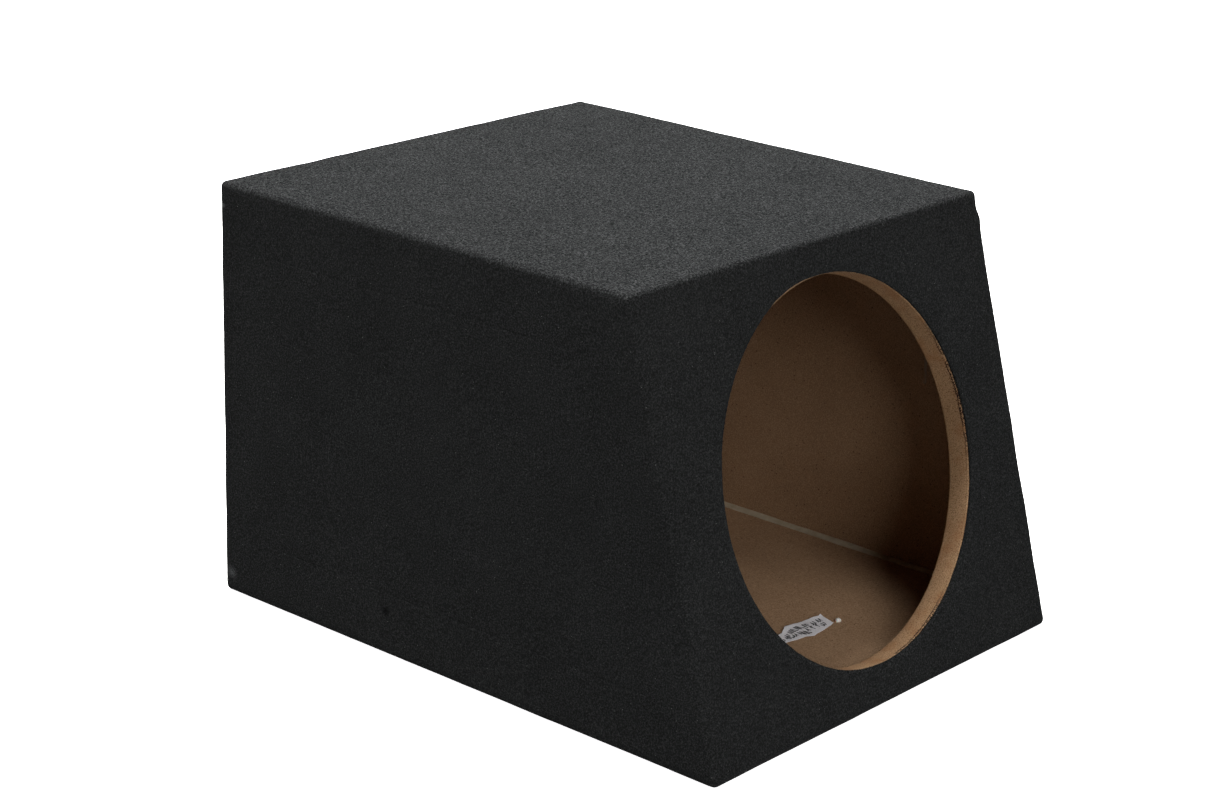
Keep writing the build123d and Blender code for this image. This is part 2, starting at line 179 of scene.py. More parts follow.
def linear(code):
    # an sRGB hex colour as linear red, green, blue and alpha
    parts = [int(code[i : i + 2], 16) / 255 for i in (1, 3, 5)]
    return [p / 12.92 if p <= 0.04045 else ((p + 0.055) / 1.055) ** 2.4 for p in parts] + [1.0]


def addNode(tree, kind, settings=None, **inputs):
    # a node with its settings; each input (by name, or n0, n1 by number) is a value, or a socket
    # that it is linked from
    node = tree.nodes.new(kind)
    for key, value in (settings or {}).items():
        setattr(node, key, value)
    for key, value in inputs.items():
        numbered = key[0] == "n" and key[1:].isdigit()
        socket = node.inputs[int(key[1:]) if numbered else key.replace("_", " ")]
        if isinstance(value, bpy.types.NodeSocket):
            tree.links.new(value, socket)
        else:
            socket.default_value = value
    return node


def newFinish(name, **values):
    # a material with one Principled shader and the object's own coordinates
    material = bpy.data.materials.new(name)
    material.use_nodes = True
    tree = material.node_tree
    shader = tree.nodes["Principled BSDF"]
    for key, value in values.items():
        shader.inputs[key.replace("_", " ")].default_value = value
    place = tree.nodes.new("ShaderNodeTexCoord").outputs["Object"]
    return material, tree, shader, place


def ramp(tree, factor, stops):
    # a colour ramp with its stops given as {position: hex colour}
    node = addNode(tree, "ShaderNodeValToRGB", n0=factor)
    elements = node.color_ramp.elements
    for i, (position, code) in enumerate(stops.items()):
        element = elements[i] if i < 2 else elements.new(position)
        element.position = position
        element.color = linear(code)
    return node.outputs["Color"]


def noise(tree, place, size, detail=2.0, roughness=0.5, distortion=0.0):
    # noise whose blotches are about that many metres across
    return addNode(
        tree, "ShaderNodeTexNoise", Vector=place, Scale=1 / size, Detail=detail, Roughness=roughness,
        Distortion=distortion,
    ).outputs["Fac"]


def sums(tree, operation, first, second, clamp=False):
    settings = {"operation": operation, "use_clamp": clamp}
    return addNode(tree, "ShaderNodeMath", settings, n0=first, n1=second).outputs[0]


def times(tree, first, second, clamp=False):
    return sums(tree, "MULTIPLY", first, second, clamp)


def ranged(tree, value, low, high, first=0.0, last=1.0):
    # a value taken from the range low to high over to first to last, and held at its ends
    return addNode(tree, "ShaderNodeMapRange", n0=value, n1=low, n2=high, n3=first, n4=last).outputs[0]


def stored(tree, name):
    # a value kept on the mesh's points
    return addNode(tree, "ShaderNodeAttribute", {"attribute_name": name}).outputs["Fac"]


def cellDistance(tree, place, size):
    # the distance to the nearest of points scattered about that many metres apart, in cell sizes
    return addNode(tree, "ShaderNodeTexVoronoi", Vector=place, Scale=1 / size).outputs["Distance"]


def painted(tree, shader, colour):
    tree.links.new(colour, shader.inputs["Base Color"])


def mixed(tree, factor, first, second, blend="MIX"):
    settings = {"data_type": "RGBA", "blend_type": blend}
    return addNode(tree, "ShaderNodeMix", settings, n0=factor, n6=first, n7=second).outputs[2]


def bumped(tree, shader, height, depth):
    # relief of that many metres where the height goes from 0 to 1
    bump = addNode(tree, "ShaderNodeBump", Height=height, Distance=depth, Strength=1.0)
    tree.links.new(bump.outputs["Normal"], shader.inputs["Normal"])


def nearSpot(tree, place, spot, radius):
    # 1 at a spot, fading to 0 at that radius
    away = addNode(tree, "ShaderNodeVectorMath", {"operation": "DISTANCE"}, n0=place, n1=spot)
    return sums(tree, "SUBTRACT", 1.0, sums(tree, "DIVIDE", away.outputs["Value"], radius), clamp=True)


carpetLook = {
    # tones of the upright faces, and of the top, where the grain is painted with more contrast: painted fibre
    # shadows and lit fibre tips under the light from above
    "upright": {0.38: "#1c1c1c", 0.62: "#424343", 0.5: "#272828"},
    "top": {0.38: "#060606", 0.62: "#525353", 0.5: "#222323"},
    "fibreSpeck": "#8d8f8c",
    "speckStep": 3.2 * mm,
    "clump": 1.3 * mm,
    "fibre": 0.45 * mm,
    "relief": 0.9 * mm,
    # rubbed or marked places, and a painted highlight on the gathered corner: (place in metres, radius, colour,
    # strength)
    "marks": (
        ((-0.2, 0.2365, 0.0165), 6.5 * mm, "#6a6c6d", 0.5),
        ((-0.2, 0.2405, 0.309), 2.6 * mm, "#8d8f8e", 0.4),
        # a painted highlight on the crease of the gathered front top left corner
        ((-0.1995, -0.1555, 0.325), 1.8 * mm, "#7a7c7b", 0.3),
        ((-0.2, 0.067, 0.035), 4.5 * mm, "#050505", 0.8),
    ),
}


def feltCarpet():
    # needle-punched polyester carpet: matted fibres in several greys, so the eye gets a heathered
    # charcoal that is dull all over and takes no highlight
    look = carpetLook
    material, tree, shader, place = newFinish(
        "NeedlePunchedPolyesterCarpet", Roughness=1.0, Specular_IOR_Level=0.02, Diffuse_Roughness=0.6,
    )
    clumps = noise(tree, place, look["clump"], 3.0, 0.65)
    fibres = noise(tree, place, look["fibre"], 2.0, 0.7, 0.6)
    patches = noise(tree, place, 60 * mm, 2.0)
    grain = sums(tree, "ADD", times(tree, clumps, 0.55), times(tree, fibres, 0.45))
    # up-facing felt takes the top's tones: painted fibre shadows and lit fibre tips
    paintedTopShade = stored(tree, "paintedTopShade")
    tones = mixed(tree, paintedTopShade, ramp(tree, grain, look["upright"]), ramp(tree, grain, look["top"]))
    cloudy = ramp(tree, patches, {0.3: "#f0f0f0", 0.7: "#ffffff"})
    colour = mixed(tree, 1.0, tones, cloudy, "MULTIPLY")
    # stray pale fibres, short and thin, thinly scattered
    cells = cellDistance(tree, place, look["speckStep"])
    specks = ranged(tree, cells, 0.09, 0.05)
    chosen = sums(tree, "GREATER_THAN", noise(tree, place, 5 * mm, 0.0), 0.62)
    colour = mixed(tree, times(tree, specks, chosen), colour, linear(look["fibreSpeck"]))
    ragged = ranged(tree, fibres, 0.44, 0.56)
    # rubbed marks, and the painted highlight at the gathered corner
    for spot, radius, code, strength in look["marks"]:
        markOrPaintedHighlight = times(tree, nearSpot(tree, place, spot, radius), ragged)
        colour = mixed(tree, times(tree, markOrPaintedHighlight, 2 * strength, clamp=True), colour, linear(code))
    painted(tree, shader, colour)
    bumped(tree, shader, grain, look["relief"])
    return material


mdfLook = {
    "pale": "#b59575",
    "middle": "#9e7e60",
    "deep": "#866a4f",
    "fleck": "#4a3422",
    "chip": "#c9a67e",
    "fleckStep": 4 * mm,
    "blotch": 55 * mm,
    "fibre": 1.1 * mm,
}


def mdfTones(tree, place):
    # the face of MDF: fine wood fibre in two browns, cloudy, with small dark and pale flecks
    look = mdfLook
    cloud = noise(tree, place, look["blotch"], 3.0)
    fibre = noise(tree, place, look["fibre"], 4.0, 0.7)
    level = sums(tree, "ADD", times(tree, cloud, 0.15), times(tree, fibre, 0.85))
    colour = ramp(tree, level, {0.38: look["deep"], 0.62: look["pale"], 0.5: look["middle"]})
    cells = cellDistance(tree, place, look["fleckStep"])
    spots = ranged(tree, cells, 0.2, 0.1, 0.0, 0.8)
    where = noise(tree, place, 9 * mm, 0.0)
    dark = times(tree, spots, sums(tree, "GREATER_THAN", where, 0.58))
    pale = times(tree, spots, sums(tree, "LESS_THAN", where, 0.4))
    colour = mixed(tree, dark, colour, linear(look["fleck"]))
    colour = mixed(tree, times(tree, pale, 0.5), colour, linear(look["chip"]))
    return colour, fibre


def mdfFace():
    # medium density fibreboard as it leaves the press: a smooth, dull, even brown
    material, tree, shader, place = newFinish(
        "MediumDensityFibreboard", Roughness=0.78, Specular_IOR_Level=0.3
    )
    colour, fibre = mdfTones(tree, place)
    painted(tree, shader, colour)
    bumped(tree, shader, fibre, 0.06 * mm)
    return material


scorchLook = {
    "tone": "#2a1710",
    "behind": 1.6 * mm,     # how far behind the front edge the line runs, and how far it swings
    "swing": 3.6 * mm,
    "width": 0.6 * mm,
    "wander": 13 * mm,
    "dash": 9 * mm,
    "pit": 1.1 * mm,
    "pitReach": 5 * mm,
}


def mdfSawn():
    # the same board where it is routed through: porous and fuzzy, a warmer tan, with the cutter's
    # scorch and smeared carpet adhesive along its front edge
    material, tree, shader, place = newFinish(
        "MediumDensityFibreboardRouted", Roughness=0.85, Specular_IOR_Level=0.25
    )
    colour, _ = mdfTones(tree, place)
    sawn = stored(tree, "sawn")
    depth = stored(tree, "depth")
    stain = stored(tree, "stain")
    pores = noise(tree, place, 0.9 * mm, 3.0, 0.75)
    core = ramp(tree, pores, {0.36: "#6f513a", 0.62: "#c49f78", 0.48: "#ae8a66"})
    colour = mixed(tree, sawn, colour, core)
    smears = ranged(tree, noise(tree, place, 16 * mm, 3.0), 0.5, 0.68, 0.0, 0.5)
    colour = mixed(tree, times(tree, smears, sawn), colour, linear("#9c6a42"))
    # scorch: a broken dark line that wanders round the bore, just behind its front edge
    look = scorchLook
    wander = times(tree, noise(tree, place, look["wander"], 2.0), look["swing"])
    middle = sums(tree, "ADD", wander, look["behind"] - look["swing"] / 2)
    away = sums(tree, "ABSOLUTE", sums(tree, "SUBTRACT", depth, middle), 0.0)
    line = ranged(tree, away, look["width"], look["width"] * 0.35)
    breaks = ranged(tree, noise(tree, place, look["dash"], 3.0, 0.6), 0.36, 0.43)
    line = times(tree, line, breaks)
    # and burnt pits scattered round the line
    pits = cellDistance(tree, place, look["pit"])
    near = ranged(tree, depth, look["pitReach"], look["pitReach"] * 0.3, 0.0, 0.5)
    holes = sums(tree, "LESS_THAN", pits, times(tree, near, breaks))
    dirt = times(tree, sums(tree, "MAXIMUM", line, holes), stain, clamp=True)
    dirt = times(tree, dirt, sawn)
    colour = mixed(tree, dirt, colour, linear(look["tone"]))
    painted(tree, shader, colour)
    relief = times(tree, pores, sums(tree, "ADD", times(tree, sawn, 0.8), 0.15))
    bumped(tree, shader, relief, 0.35 * mm)
    return material


def acrylicCaulk():
    # gap filler that dried in the joint: chalky off-white, satin, dusty with board fibre
    material, tree, shader, place = newFinish("AcrylicCaulk", Roughness=0.5, Specular_IOR_Level=0.4)
    smear = noise(tree, place, 9 * mm, 4.0, 0.6)
    painted(tree, shader, ramp(tree, smear, {0.3: "#a3957d", 0.7: "#bfb19a"}))
    bumped(tree, shader, noise(tree, place, 1.6 * mm, 3.0), 0.12 * mm)
    return material


def woodGlue(name, thin, thick, gloss):
    # PVA glue: milky where it is thick, browner where the board shows through, with a wet gloss
    material, tree, shader, place = newFinish(
        name, Roughness=0.3 - 0.15 * gloss, Coat_Weight=gloss, Coat_Roughness=0.05,
        Subsurface_Weight=0.25, Subsurface_Scale=1.5 * mm, IOR=1.46,
    )
    cloud = noise(tree, place, 2 * mm, 2.0)
    pale = mixed(tree, cloud, linear(thin), linear(thick))
    painted(tree, shader, pale)
    bumped(tree, shader, noise(tree, place, 1.5 * mm, 1.0), 0.05 * mm)
    return material


def paperStock():
    # plain uncoated paper: nearly white, soft, with a trace of fibre
    material, tree, shader, place = newFinish("UncoatedPaper", Roughness=0.8, Specular_IOR_Level=0.3)
    pulp = noise(tree, place, 0.8 * mm, 4.0, 0.7)
    painted(tree, shader, ramp(tree, pulp, {0.35: "#dddadc", 0.6: "#f3f1f4"}))
    bumped(tree, shader, pulp, 0.05 * mm)
    return material


def penInk():
    # dried ball-pen ink: a dull blue-black line that is darker where the ball pressed
    material, tree, shader, place = newFinish("BallPenInk", Roughness=0.45)
    press = noise(tree, place, 1.5 * mm, 2.0)
    painted(tree, shader, ramp(tree, press, {0.35: "#08080e", 0.65: "#14151d"}))
    return material


def mouldedAbs(name, code, roughness, grain):
    # injection-moulded ABS with a spark-eroded grain: even colour and a broken satin highlight
    material, tree, shader, place = newFinish(name, Roughness=roughness, IOR=1.54)
    fine = noise(tree, place, 0.35 * mm, 3.0, 0.6)
    dust = noise(tree, place, 6 * mm, 3.0)
    colour = mixed(tree, times(tree, dust, 0.1), linear(code), linear("#6a6864"))
    painted(tree, shader, colour)
    worn = ranged(tree, dust, 0.3, 0.7, roughness - 0.07, roughness + 0.07)
    tree.links.new(worn, shader.inputs["Roughness"])
    bumped(tree, shader, fine, grain)
    return material


def cellFoam():
    # closed-cell foam strip: dull dark grey with tiny open cells
    material, tree, shader, place = newFinish("ClosedCellFoam", Roughness=0.9, Specular_IOR_Level=0.2)
    cells = cellDistance(tree, place, 0.7 * mm)
    painted(tree, shader, ramp(tree, cells, {0.1: "#1c1c1c", 0.7: "#3a3a3a"}))
    bumped(tree, shader, cells, 0.15 * mm)
    return material


def metal(name, code, rubbed, roughness, scratch):
    # bare or plated metal: drawn or stamped, with fine scratches that break the highlight
    material, tree, shader, place = newFinish(name, Metallic=1.0, Roughness=roughness)
    marks = noise(tree, place, scratch, 4.0, 0.7)
    painted(tree, shader, ramp(tree, marks, {0.35: rubbed, 0.6: code}))
    worn = ranged(tree, marks, 0.3, 0.7, roughness - 0.08, roughness + 0.12)
    tree.links.new(worn, shader.inputs["Roughness"])
    bumped(tree, shader, marks, 0.02 * mm)
    return material


carpetFinish = feltCarpet()
boardFinish = mdfFace()
routedFinish = mdfSawn()
caulkFinish = acrylicCaulk()
runFinish = woodGlue("DriedGlueRun", "#8a745c", "#a8937a", 0.15)
dropFinish = woodGlue("DriedGlueDrop", "#dedad0", "#f4f1e8", 0.8)
paperFinish = paperStock()
inkFinish = penInk()
cupFinish = mouldedAbs("MouldedBlackAbs", "#191a1b", 0.42, 0.06 * mm)
blackLeverFinish = mouldedAbs("PolishedBlackAbs", "#121314", 0.28, 0.02 * mm)
redLeverFinish = mouldedAbs("PolishedRedAbs", "#a3130f", 0.28, 0.02 * mm)
foamFinish = cellFoam()
screwFinish = metal("BlackZincSteel", "#2a2a2c", "#161617", 0.38, 0.6 * mm)
springFinish = metal("DrawnSpringSteel", "#b9babd", "#8d8e91", 0.27, 0.5 * mm)
bradFinish = metal("BrightSteelWire", "#b4b5b7", "#85868a", 0.33, 0.5 * mm)
brassFinish = metal("StampedBrass", "#d9b45e", "#a98438", 0.25, 0.8 * mm)

nodeFinishes = {
    "brad_nails": bradFinish,
    "terminal_cup": cupFinish,
    "cup_gasket": foamFinish,
    "cup_screws": screwFinish,
    "black_lever": blackLeverFinish,
    "red_lever": redLeverFinish,
}
for side in ("left_side", "right_side", "top", "bottom", "rear"):
    nodeFinishes[f"{side}_board"] = boardFinish
for colour in ("black", "red"):
    nodeFinishes[f"{colour}_lever_pin"] = springFinish
    nodeFinishes[f"{colour}_contact"] = brassFinish
for name, finish in nodeFinishes.items():
    nodes[name].data.materials.clear()
    nodes[name].data.materials.append(finish)
print("materials made")


# Sizes of the cabinet, read from the frame

wrapHigh = np.array(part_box("carpet_wrap")[1])
baffleLow, baffleHigh = boxOf("front_baffle")
driverHole = next(mount for mount in frame["record"]["mounts"] if mount["name"] == "driver_cutout")
holeCentre = np.array(driverHole["pos_m"])
holeAxis = np.array(driverHole["axis"])
holeRadius = driverHole["dims"]["r_mm"] * mm
boardThick = driverHole["dims"]["length_mm"] * mm
halfWidth = wrapHigh[0]
height = wrapHigh[2]
rearFace = wrapHigh[1]
innerHalf = baffleHigh[0]
innerFloor = baffleLow[2]
innerCeiling = baffleHigh[2]
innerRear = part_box("rear_board")[0].y
carpetThick = innerFloor - boardThick
slant = math.atan2(holeAxis[2], -holeAxis[1])
upSlope = np.array([0.0, math.sin(slant), math.cos(slant)])
acrossX = np.array([1.0, 0, 0])


def aroundHole(angle):
    # directions out from the middle of the driver hole in the baffle's plane, from +X upward
    return np.cos(angle)[:, None] * acrossX + np.sin(angle)[:, None] * upSlope


def frontAt(z, inset=0.0):
    # the y of the carpet's sloping face at a height, or of a plane that far behind it
    proud = carpetThick - inset
    above = z - holeCentre[2] - holeAxis[2] * proud
    return holeCentre[1] + holeAxis[1] * proud + above * math.tan(slant)


# Carpet: sheets laid on the sharp outline of the cabinet, then rolled round its edges

carpetShape = {
    "rounding": 4.5 * mm,      # outer radius of every edge
    "flange": 49.0 * mm,       # how far the wrapped sheets fold on to the sides
    "thick": 2.5 * mm,
    "seamGap": 0.06 * mm,      # between two butted edges
    "seamDip": 0.12 * mm,      # how far a butted edge sinks
    "seamSlope": 1.2 * mm,
    "wave": 0.34 * mm,         # long waves of the sheet over the board
    "ripple": 0.16 * mm,
    "step": 4.4 * mm,          # spacing of the mesh
    "cutMargin": 0.25 * mm,    # the carpet's hole is this much wider than the board's
    "cutJitter": 0.35 * mm,
    "cutSlip": 1.9 * mm,       # and the knife slipped outward on a stretch at the upper left
    "cutSlipAngle": math.radians(-107),
    "cutSlipReach": math.radians(14),
    "cutPress": 0.7 * mm,      # how far the felt is pressed down at the cut
    "cutSlope": 1.6 * mm,
}

outline = np.array(
    [[rearFace, 0.0], [rearFace, height], [frontAt(height), height], [frontAt(0.0), 0.0]]
)


towardBefore = unit(np.roll(outline, 1, axis=0) - outline)
towardAfter = unit(np.roll(outline, -1, axis=0) - outline)
angles = np.arccos((towardBefore * towardAfter).sum(1))  # inside each corner of the side view


def insetOutline(inset):
    # the outline's corners moved inward: along each corner's bisector by inset / sin(half angle)
    bisector = unit(towardBefore + towardAfter)
    return outline + bisector * (inset / np.sin(angles / 2))[:, None]


coreOutline = insetOutline(carpetShape["rounding"])
coreHalf = halfWidth - carpetShape["rounding"]


def nearestInCore(yz):
    # the nearest point of the core's side view: the point itself inside it, else the nearest
    # foot of a perpendicular on its four edges
    run = np.roll(coreOutline, -1, axis=0) - coreOutline
    away = yz[:, None, :] - coreOutline
    share = np.clip((away * run).sum(-1) / (run * run).sum(-1), 0, 1)
    foot = coreOutline + share[..., None] * run
    gap = np.linalg.norm(yz[:, None, :] - foot, axis=-1)
    nearest = foot[np.arange(len(yz)), gap.argmin(axis=1)]
    side = away[..., 0] * run[:, 1] - away[..., 1] * run[:, 0]
    inside = (side > 0).all(axis=1) | (side < 0).all(axis=1)
    return np.where(inside[:, None], yz, nearest)


frontTopLeft = np.array([-halfWidth, outline[2, 0], height])
frontTopRight = np.array([halfWidth, outline[2, 0], height])


carpetFlaws = {
    # along the right front edge: distance down from its top, rise, reach
    "overlap": ((21 * mm, 1.1 * mm, 6 * mm), (13 * mm, -0.9 * mm, 5 * mm)),
    # the gathered corner: place from the corner, rise, reach, and its creases' pitch down and back
    "tuckFrom": (3 * mm, 3 * mm, -12 * mm),
    "tuckRise": 0.4 * mm,
    "tuckReach": 15 * mm,
    "tuckPitch": (3.2 * mm, 7 * mm),
}


def bulgeAt(points, centre, reach):
    # a rounded hump: exp(-(distance / reach) squared)
    return np.exp(-((np.linalg.norm(points - centre, axis=1) / reach) ** 2))


def carpetLift(points):
    # how far the carpet's face stands off its even surface: two sizes of wave, a pinched overlap
    # on the right front edge and a gathered corner at the left, and never below the floor
    shape = carpetShape
    lift = shape["wave"] * noiseField(points, 34 * mm, 3)
    lift += shape["ripple"] * noiseField(points, 10 * mm, 4)
    for down, rise, reach in carpetFlaws["overlap"]:
        lift += rise * bulgeAt(points, frontTopRight - upSlope * down, reach)
    tuck = frontTopLeft + np.array(carpetFlaws["tuckFrom"])
    down, back = carpetFlaws["tuckPitch"]
    crease = np.sin((points[:, 2] - tuck[2]) / down + (points[:, 1] - tuck[1]) / back)
    lift += carpetFlaws["tuckRise"] * crease * bulgeAt(points, tuck, carpetFlaws["tuckReach"])
    onFloor = points[:, 2] < 1 * mm
    return np.where(onFloor, np.minimum(lift, 0) * 0.3, lift)


def rolled(points, lower=None):
    # sharp outline to rounded edge: nearest core point + radius * unit direction, with the
    # carpet's lift added and any dip taken off; gives the points and their outward directions
    core = np.empty_like(points)
    core[:, 0] = np.clip(points[:, 0], -coreHalf, coreHalf)
    core[:, 1:] = nearestInCore(points[:, 1:])
    direction = unit(points - core)
    even = core + direction * carpetShape["rounding"]
    lift = carpetLift(even) - (0 if lower is None else lower)
    return even + direction * lift[:, None], direction


def spaced(length, step, ends):
    # places along a length: close together at both ends, at the given distances, then even
    inner = length - 2 * ends[-1]
    middle = np.linspace(ends[-1], ends[-1] + inner, max(2, round(inner / step)) + 1)[1:-1]
    return np.concatenate([ends, middle, length - ends[::-1]])


foldPlaces = np.array([0, 0.45, 0.95, 1.5, 2.2, 3.0, 3.8, 4.6, 7.5]) * mm
sidePlaces = np.array([0, 0.8, 1.7, 2.8, 4.2, 7.5]) * mm
cutPlaces = np.array([0, 0.4, 0.9, 1.6, 2.6, 4.0, 6.0]) * mm
flangePlaces = np.arange(15, 45, 4.4) * mm
flangeEdgePlaces = np.array([3, 1.9, 1.1, 0.5, 0]) * mm
mitreOpening = 6 * mm  # a mitre seam opens over this distance from the fold


def seamDip(distance):
    # the sunk edge beside a seam: depth * exp(-(distance / slope) squared)
    return carpetShape["seamDip"] * np.exp(-((distance / carpetShape["seamSlope"]) ** 2))


def segment(index):
    # the start, direction and length of one side of the outline
    start = outline[index]
    run = outline[(index + 1) % 4] - start
    length = np.linalg.norm(run)
    return start, run / length, length


def mainPatch(index, butted=(False, False)):
    # x across the cabinet by s along one side of the outline; a butted end sinks into its seam
    start, run, length = segment(index)
    s = spaced(length, carpetShape["step"], foldPlaces)
    x = spaced(2 * halfWidth, carpetShape["step"], sidePlaces) - halfWidth
    sGrid, xGrid = np.meshgrid(s, x, indexing="ij")
    yz = start + run * sGrid[..., None]
    points = np.concatenate([xGrid[..., None], yz], axis=-1).reshape(-1, 3)
    dip = np.zeros(len(points))
    for end, distance in enumerate((sGrid.ravel(), length - sGrid.ravel())):
        if butted[end]:
            dip += seamDip(distance)
    points, outward = rolled(points, dip)
    return points, turnedOut(points, gridFaces(len(s), len(x)), outward)


def flangePatch(index, side):
    # the part folded on to one side: a trapezium whose ends are cut on the corners' bisectors,
    # s from d / tan(half angle) at one end to the same at the other, d in from the fold
    start, run, length = segment(index)
    inward = np.array([run[1], -run[0]])
    if (outline.mean(axis=0) - start) @ inward < 0:
        inward = -inward
    shape = carpetShape
    q = spaced(length, shape["step"], foldPlaces) / length
    reach = shape["flange"] - shape["seamGap"] / 2
    d = np.concatenate([sidePlaces, flangePlaces, reach - flangeEdgePlaces])
    qGrid, dGrid = np.meshgrid(q, d, indexing="ij")
    opened = np.clip(dGrid / mitreOpening, 0, 1)
    gap = shape["seamGap"] / 2 * opened
    low = dGrid / math.tan(angles[index] / 2) + gap
    high = length - dGrid / math.tan(angles[(index + 1) % 4] / 2) - gap
    s = low + (high - low) * qGrid
    yz = start + run * s[..., None] + inward * dGrid[..., None]
    xs = np.full(s.shape, side * halfWidth)
    points = np.concatenate([xs[..., None], yz], axis=-1).reshape(-1, 3)
    away = np.minimum(s - low, high - s) * opened + 1 - opened
    dip = np.maximum(seamDip(away.ravel()), seamDip((reach - dGrid).ravel()))
    points, outward = rolled(points, dip)
    return points, turnedOut(points, gridFaces(len(q), len(d)), outward)


def rimDistance(angle, halfA, halfB, power):
    # the distance from the middle to a rounded window: |x / a| ^ n + |y / b| ^ n = 1
    a, b = np.abs(np.cos(angle) / halfA), np.abs(np.sin(angle) / halfB)
    return (a**power + b**power) ** (-1 / power)


def holedPatch(index, middle, rim):
    # rays from a window in the middle of one side out to every point of its border, with the
    # steps along each ray close together at the cut edge and at the folds
    start, run, length = segment(index)
    s = spaced(length, carpetShape["step"], foldPlaces)
    x = spaced(2 * halfWidth, carpetShape["step"], sidePlaces) - halfWidth
    border = gridBorder(x, s)
    angle = np.arctan2(border[:, 1] - middle, border[:, 0])
    ray = np.stack([np.cos(angle), np.sin(angle)], 1)
    inner = np.array([0, middle]) + ray * rim(angle)[:, None]
    reach = np.linalg.norm(border - inner, axis=1)[:, None]
    far = foldPlaces[::-1]
    share = np.linspace(0, 1, 12)[1:-1]
    near = np.tile(cutPlaces, (len(border), 1))
    between = cutPlaces[-1] + (reach - cutPlaces[-1] - far[0]) * share
    steps = np.concatenate([near, between, reach - far], axis=1)
    steps[:, -1] = reach[:, 0]
    flat = inner[:, None, :] + (border - inner)[:, None, :] * (steps / reach)[..., None]
    yz = start + run * flat[..., 1:]
    points = np.concatenate([flat[..., :1], yz], axis=-1).reshape(-1, 3)
    pressed = carpetShape["cutPress"] * np.exp(-((steps / carpetShape["cutSlope"]) ** 2))
    points, outward = rolled(points, pressed.ravel())
    faces = gridFaces(len(border), steps.shape[1], wrapRows=True)
    return points, turnedOut(points, faces, outward)


cupLow, cupHigh = boxOf("terminal_cup")
cupMiddle = (cupLow + cupHigh) / 2
cupHidden = 1.5 * mm  # the cup's flange covers this much of the carpet round its window
windowHalfWidth = cupHigh[0] - cupHidden
windowHalfHeight = (cupHigh[2] - cupLow[2]) / 2 - cupHidden


def cutRim(angle):
    # the driver hole in the carpet: a circle with a hand-cut wander of two sizes
    shape = carpetShape
    ring = np.stack([np.cos(angle), np.sin(angle), np.zeros(len(angle))], 1) * holeRadius
    wander = 0.7 * noiseField(ring, 40 * mm, 8) + 0.5 * noiseField(ring, 7 * mm, 9)
    turned = np.angle(np.exp(1j * (angle - shape["cutSlipAngle"])))
    slip = shape["cutSlip"] * np.exp(-((turned / shape["cutSlipReach"]) ** 2))
    return holeRadius + shape["cutMargin"] + slip + shape["cutJitter"] * wander


def cupWindow(angle):
    # the window under the terminal cup's flange, a nearly square-cornered one (power 12)
    return rimDistance(angle, windowHalfWidth, windowHalfHeight, 12)


def withPaintedTopShade(piece):
    # an attribute for the felt: how far each point faces up, from 0 to 1, which picks the top's painted fibre
    # shade
    mesh = piece.data
    normals = np.zeros(len(mesh.vertices) * 3, np.float32)
    mesh.vertices.foreach_get("normal", normals)
    paintedTopShade = mesh.attributes.new("paintedTopShade", "FLOAT", "POINT")
    paintedTopShade.data.foreach_set("value", np.clip(normals[2::3] * 1.3 - 0.3, 0, 1))
    return piece


def solid(piece, thick):
    # gives a sheet its thickness, inward from its face
    modifier = piece.modifiers.new("Thickness", "SOLIDIFY")
    modifier.thickness = thick
    modifier.offset = -1
    modifier.use_rim = True
    return piece


def notchArea(corners):
    # the cloth cut away at mitred corners, two triangles of flange wide at each
    return sum(2 * carpetShape["flange"] ** 2 / math.tan(angles[i] / 2) for i in corners)


def feltSheet(name, patches, weld=0.0):
    # the patches as one sheet of carpet
    points, faces = joined(patches)
    return solid(withPaintedTopShade(makePiece(name, points, faces, carpetFinish, weld)), carpetShape["thick"])


def dressCarpet():
    # the wrap over rear, top and front, and the bottom's sheet, each with its flat width, length
    # and cut area
    shape = carpetShape
    start, run, _ = segment(2)
    holeMiddle = (holeCentre[1:] - start) @ run
    patches = [
        holedPatch(0, cupMiddle[2], cupWindow),
        mainPatch(1),
        holedPatch(2, holeMiddle, cutRim),
    ]
    patches += [flangePatch(i, side) for i in (0, 1, 2) for side in (-1, 1)]
    wrap = feltSheet("carpetWrap", patches, 0.02 * mm)
    lengths = [segment(i)[2] for i in range(4)]
    wide = 2 * (halfWidth + shape["flange"])
    long = sum(lengths[:3])
    windows = math.pi * (holeRadius + shape["cutMargin"]) ** 2 + 4 * windowHalfWidth * windowHalfHeight
    cut = wide * long - windows - notchArea([1, 2]) - notchArea([0, 3]) / 2
    bottomPatches = [mainPatch(3, (True, True)), flangePatch(3, -1), flangePatch(3, 1)]
    bottom = feltSheet("bottomCarpet", bottomPatches, 0.02 * mm)
    bottomCut = wide * lengths[3] - notchArea([0, 3]) / 2
    return wrap, (wide, long, cut), bottom, (wide, lengths[3], bottomCut)


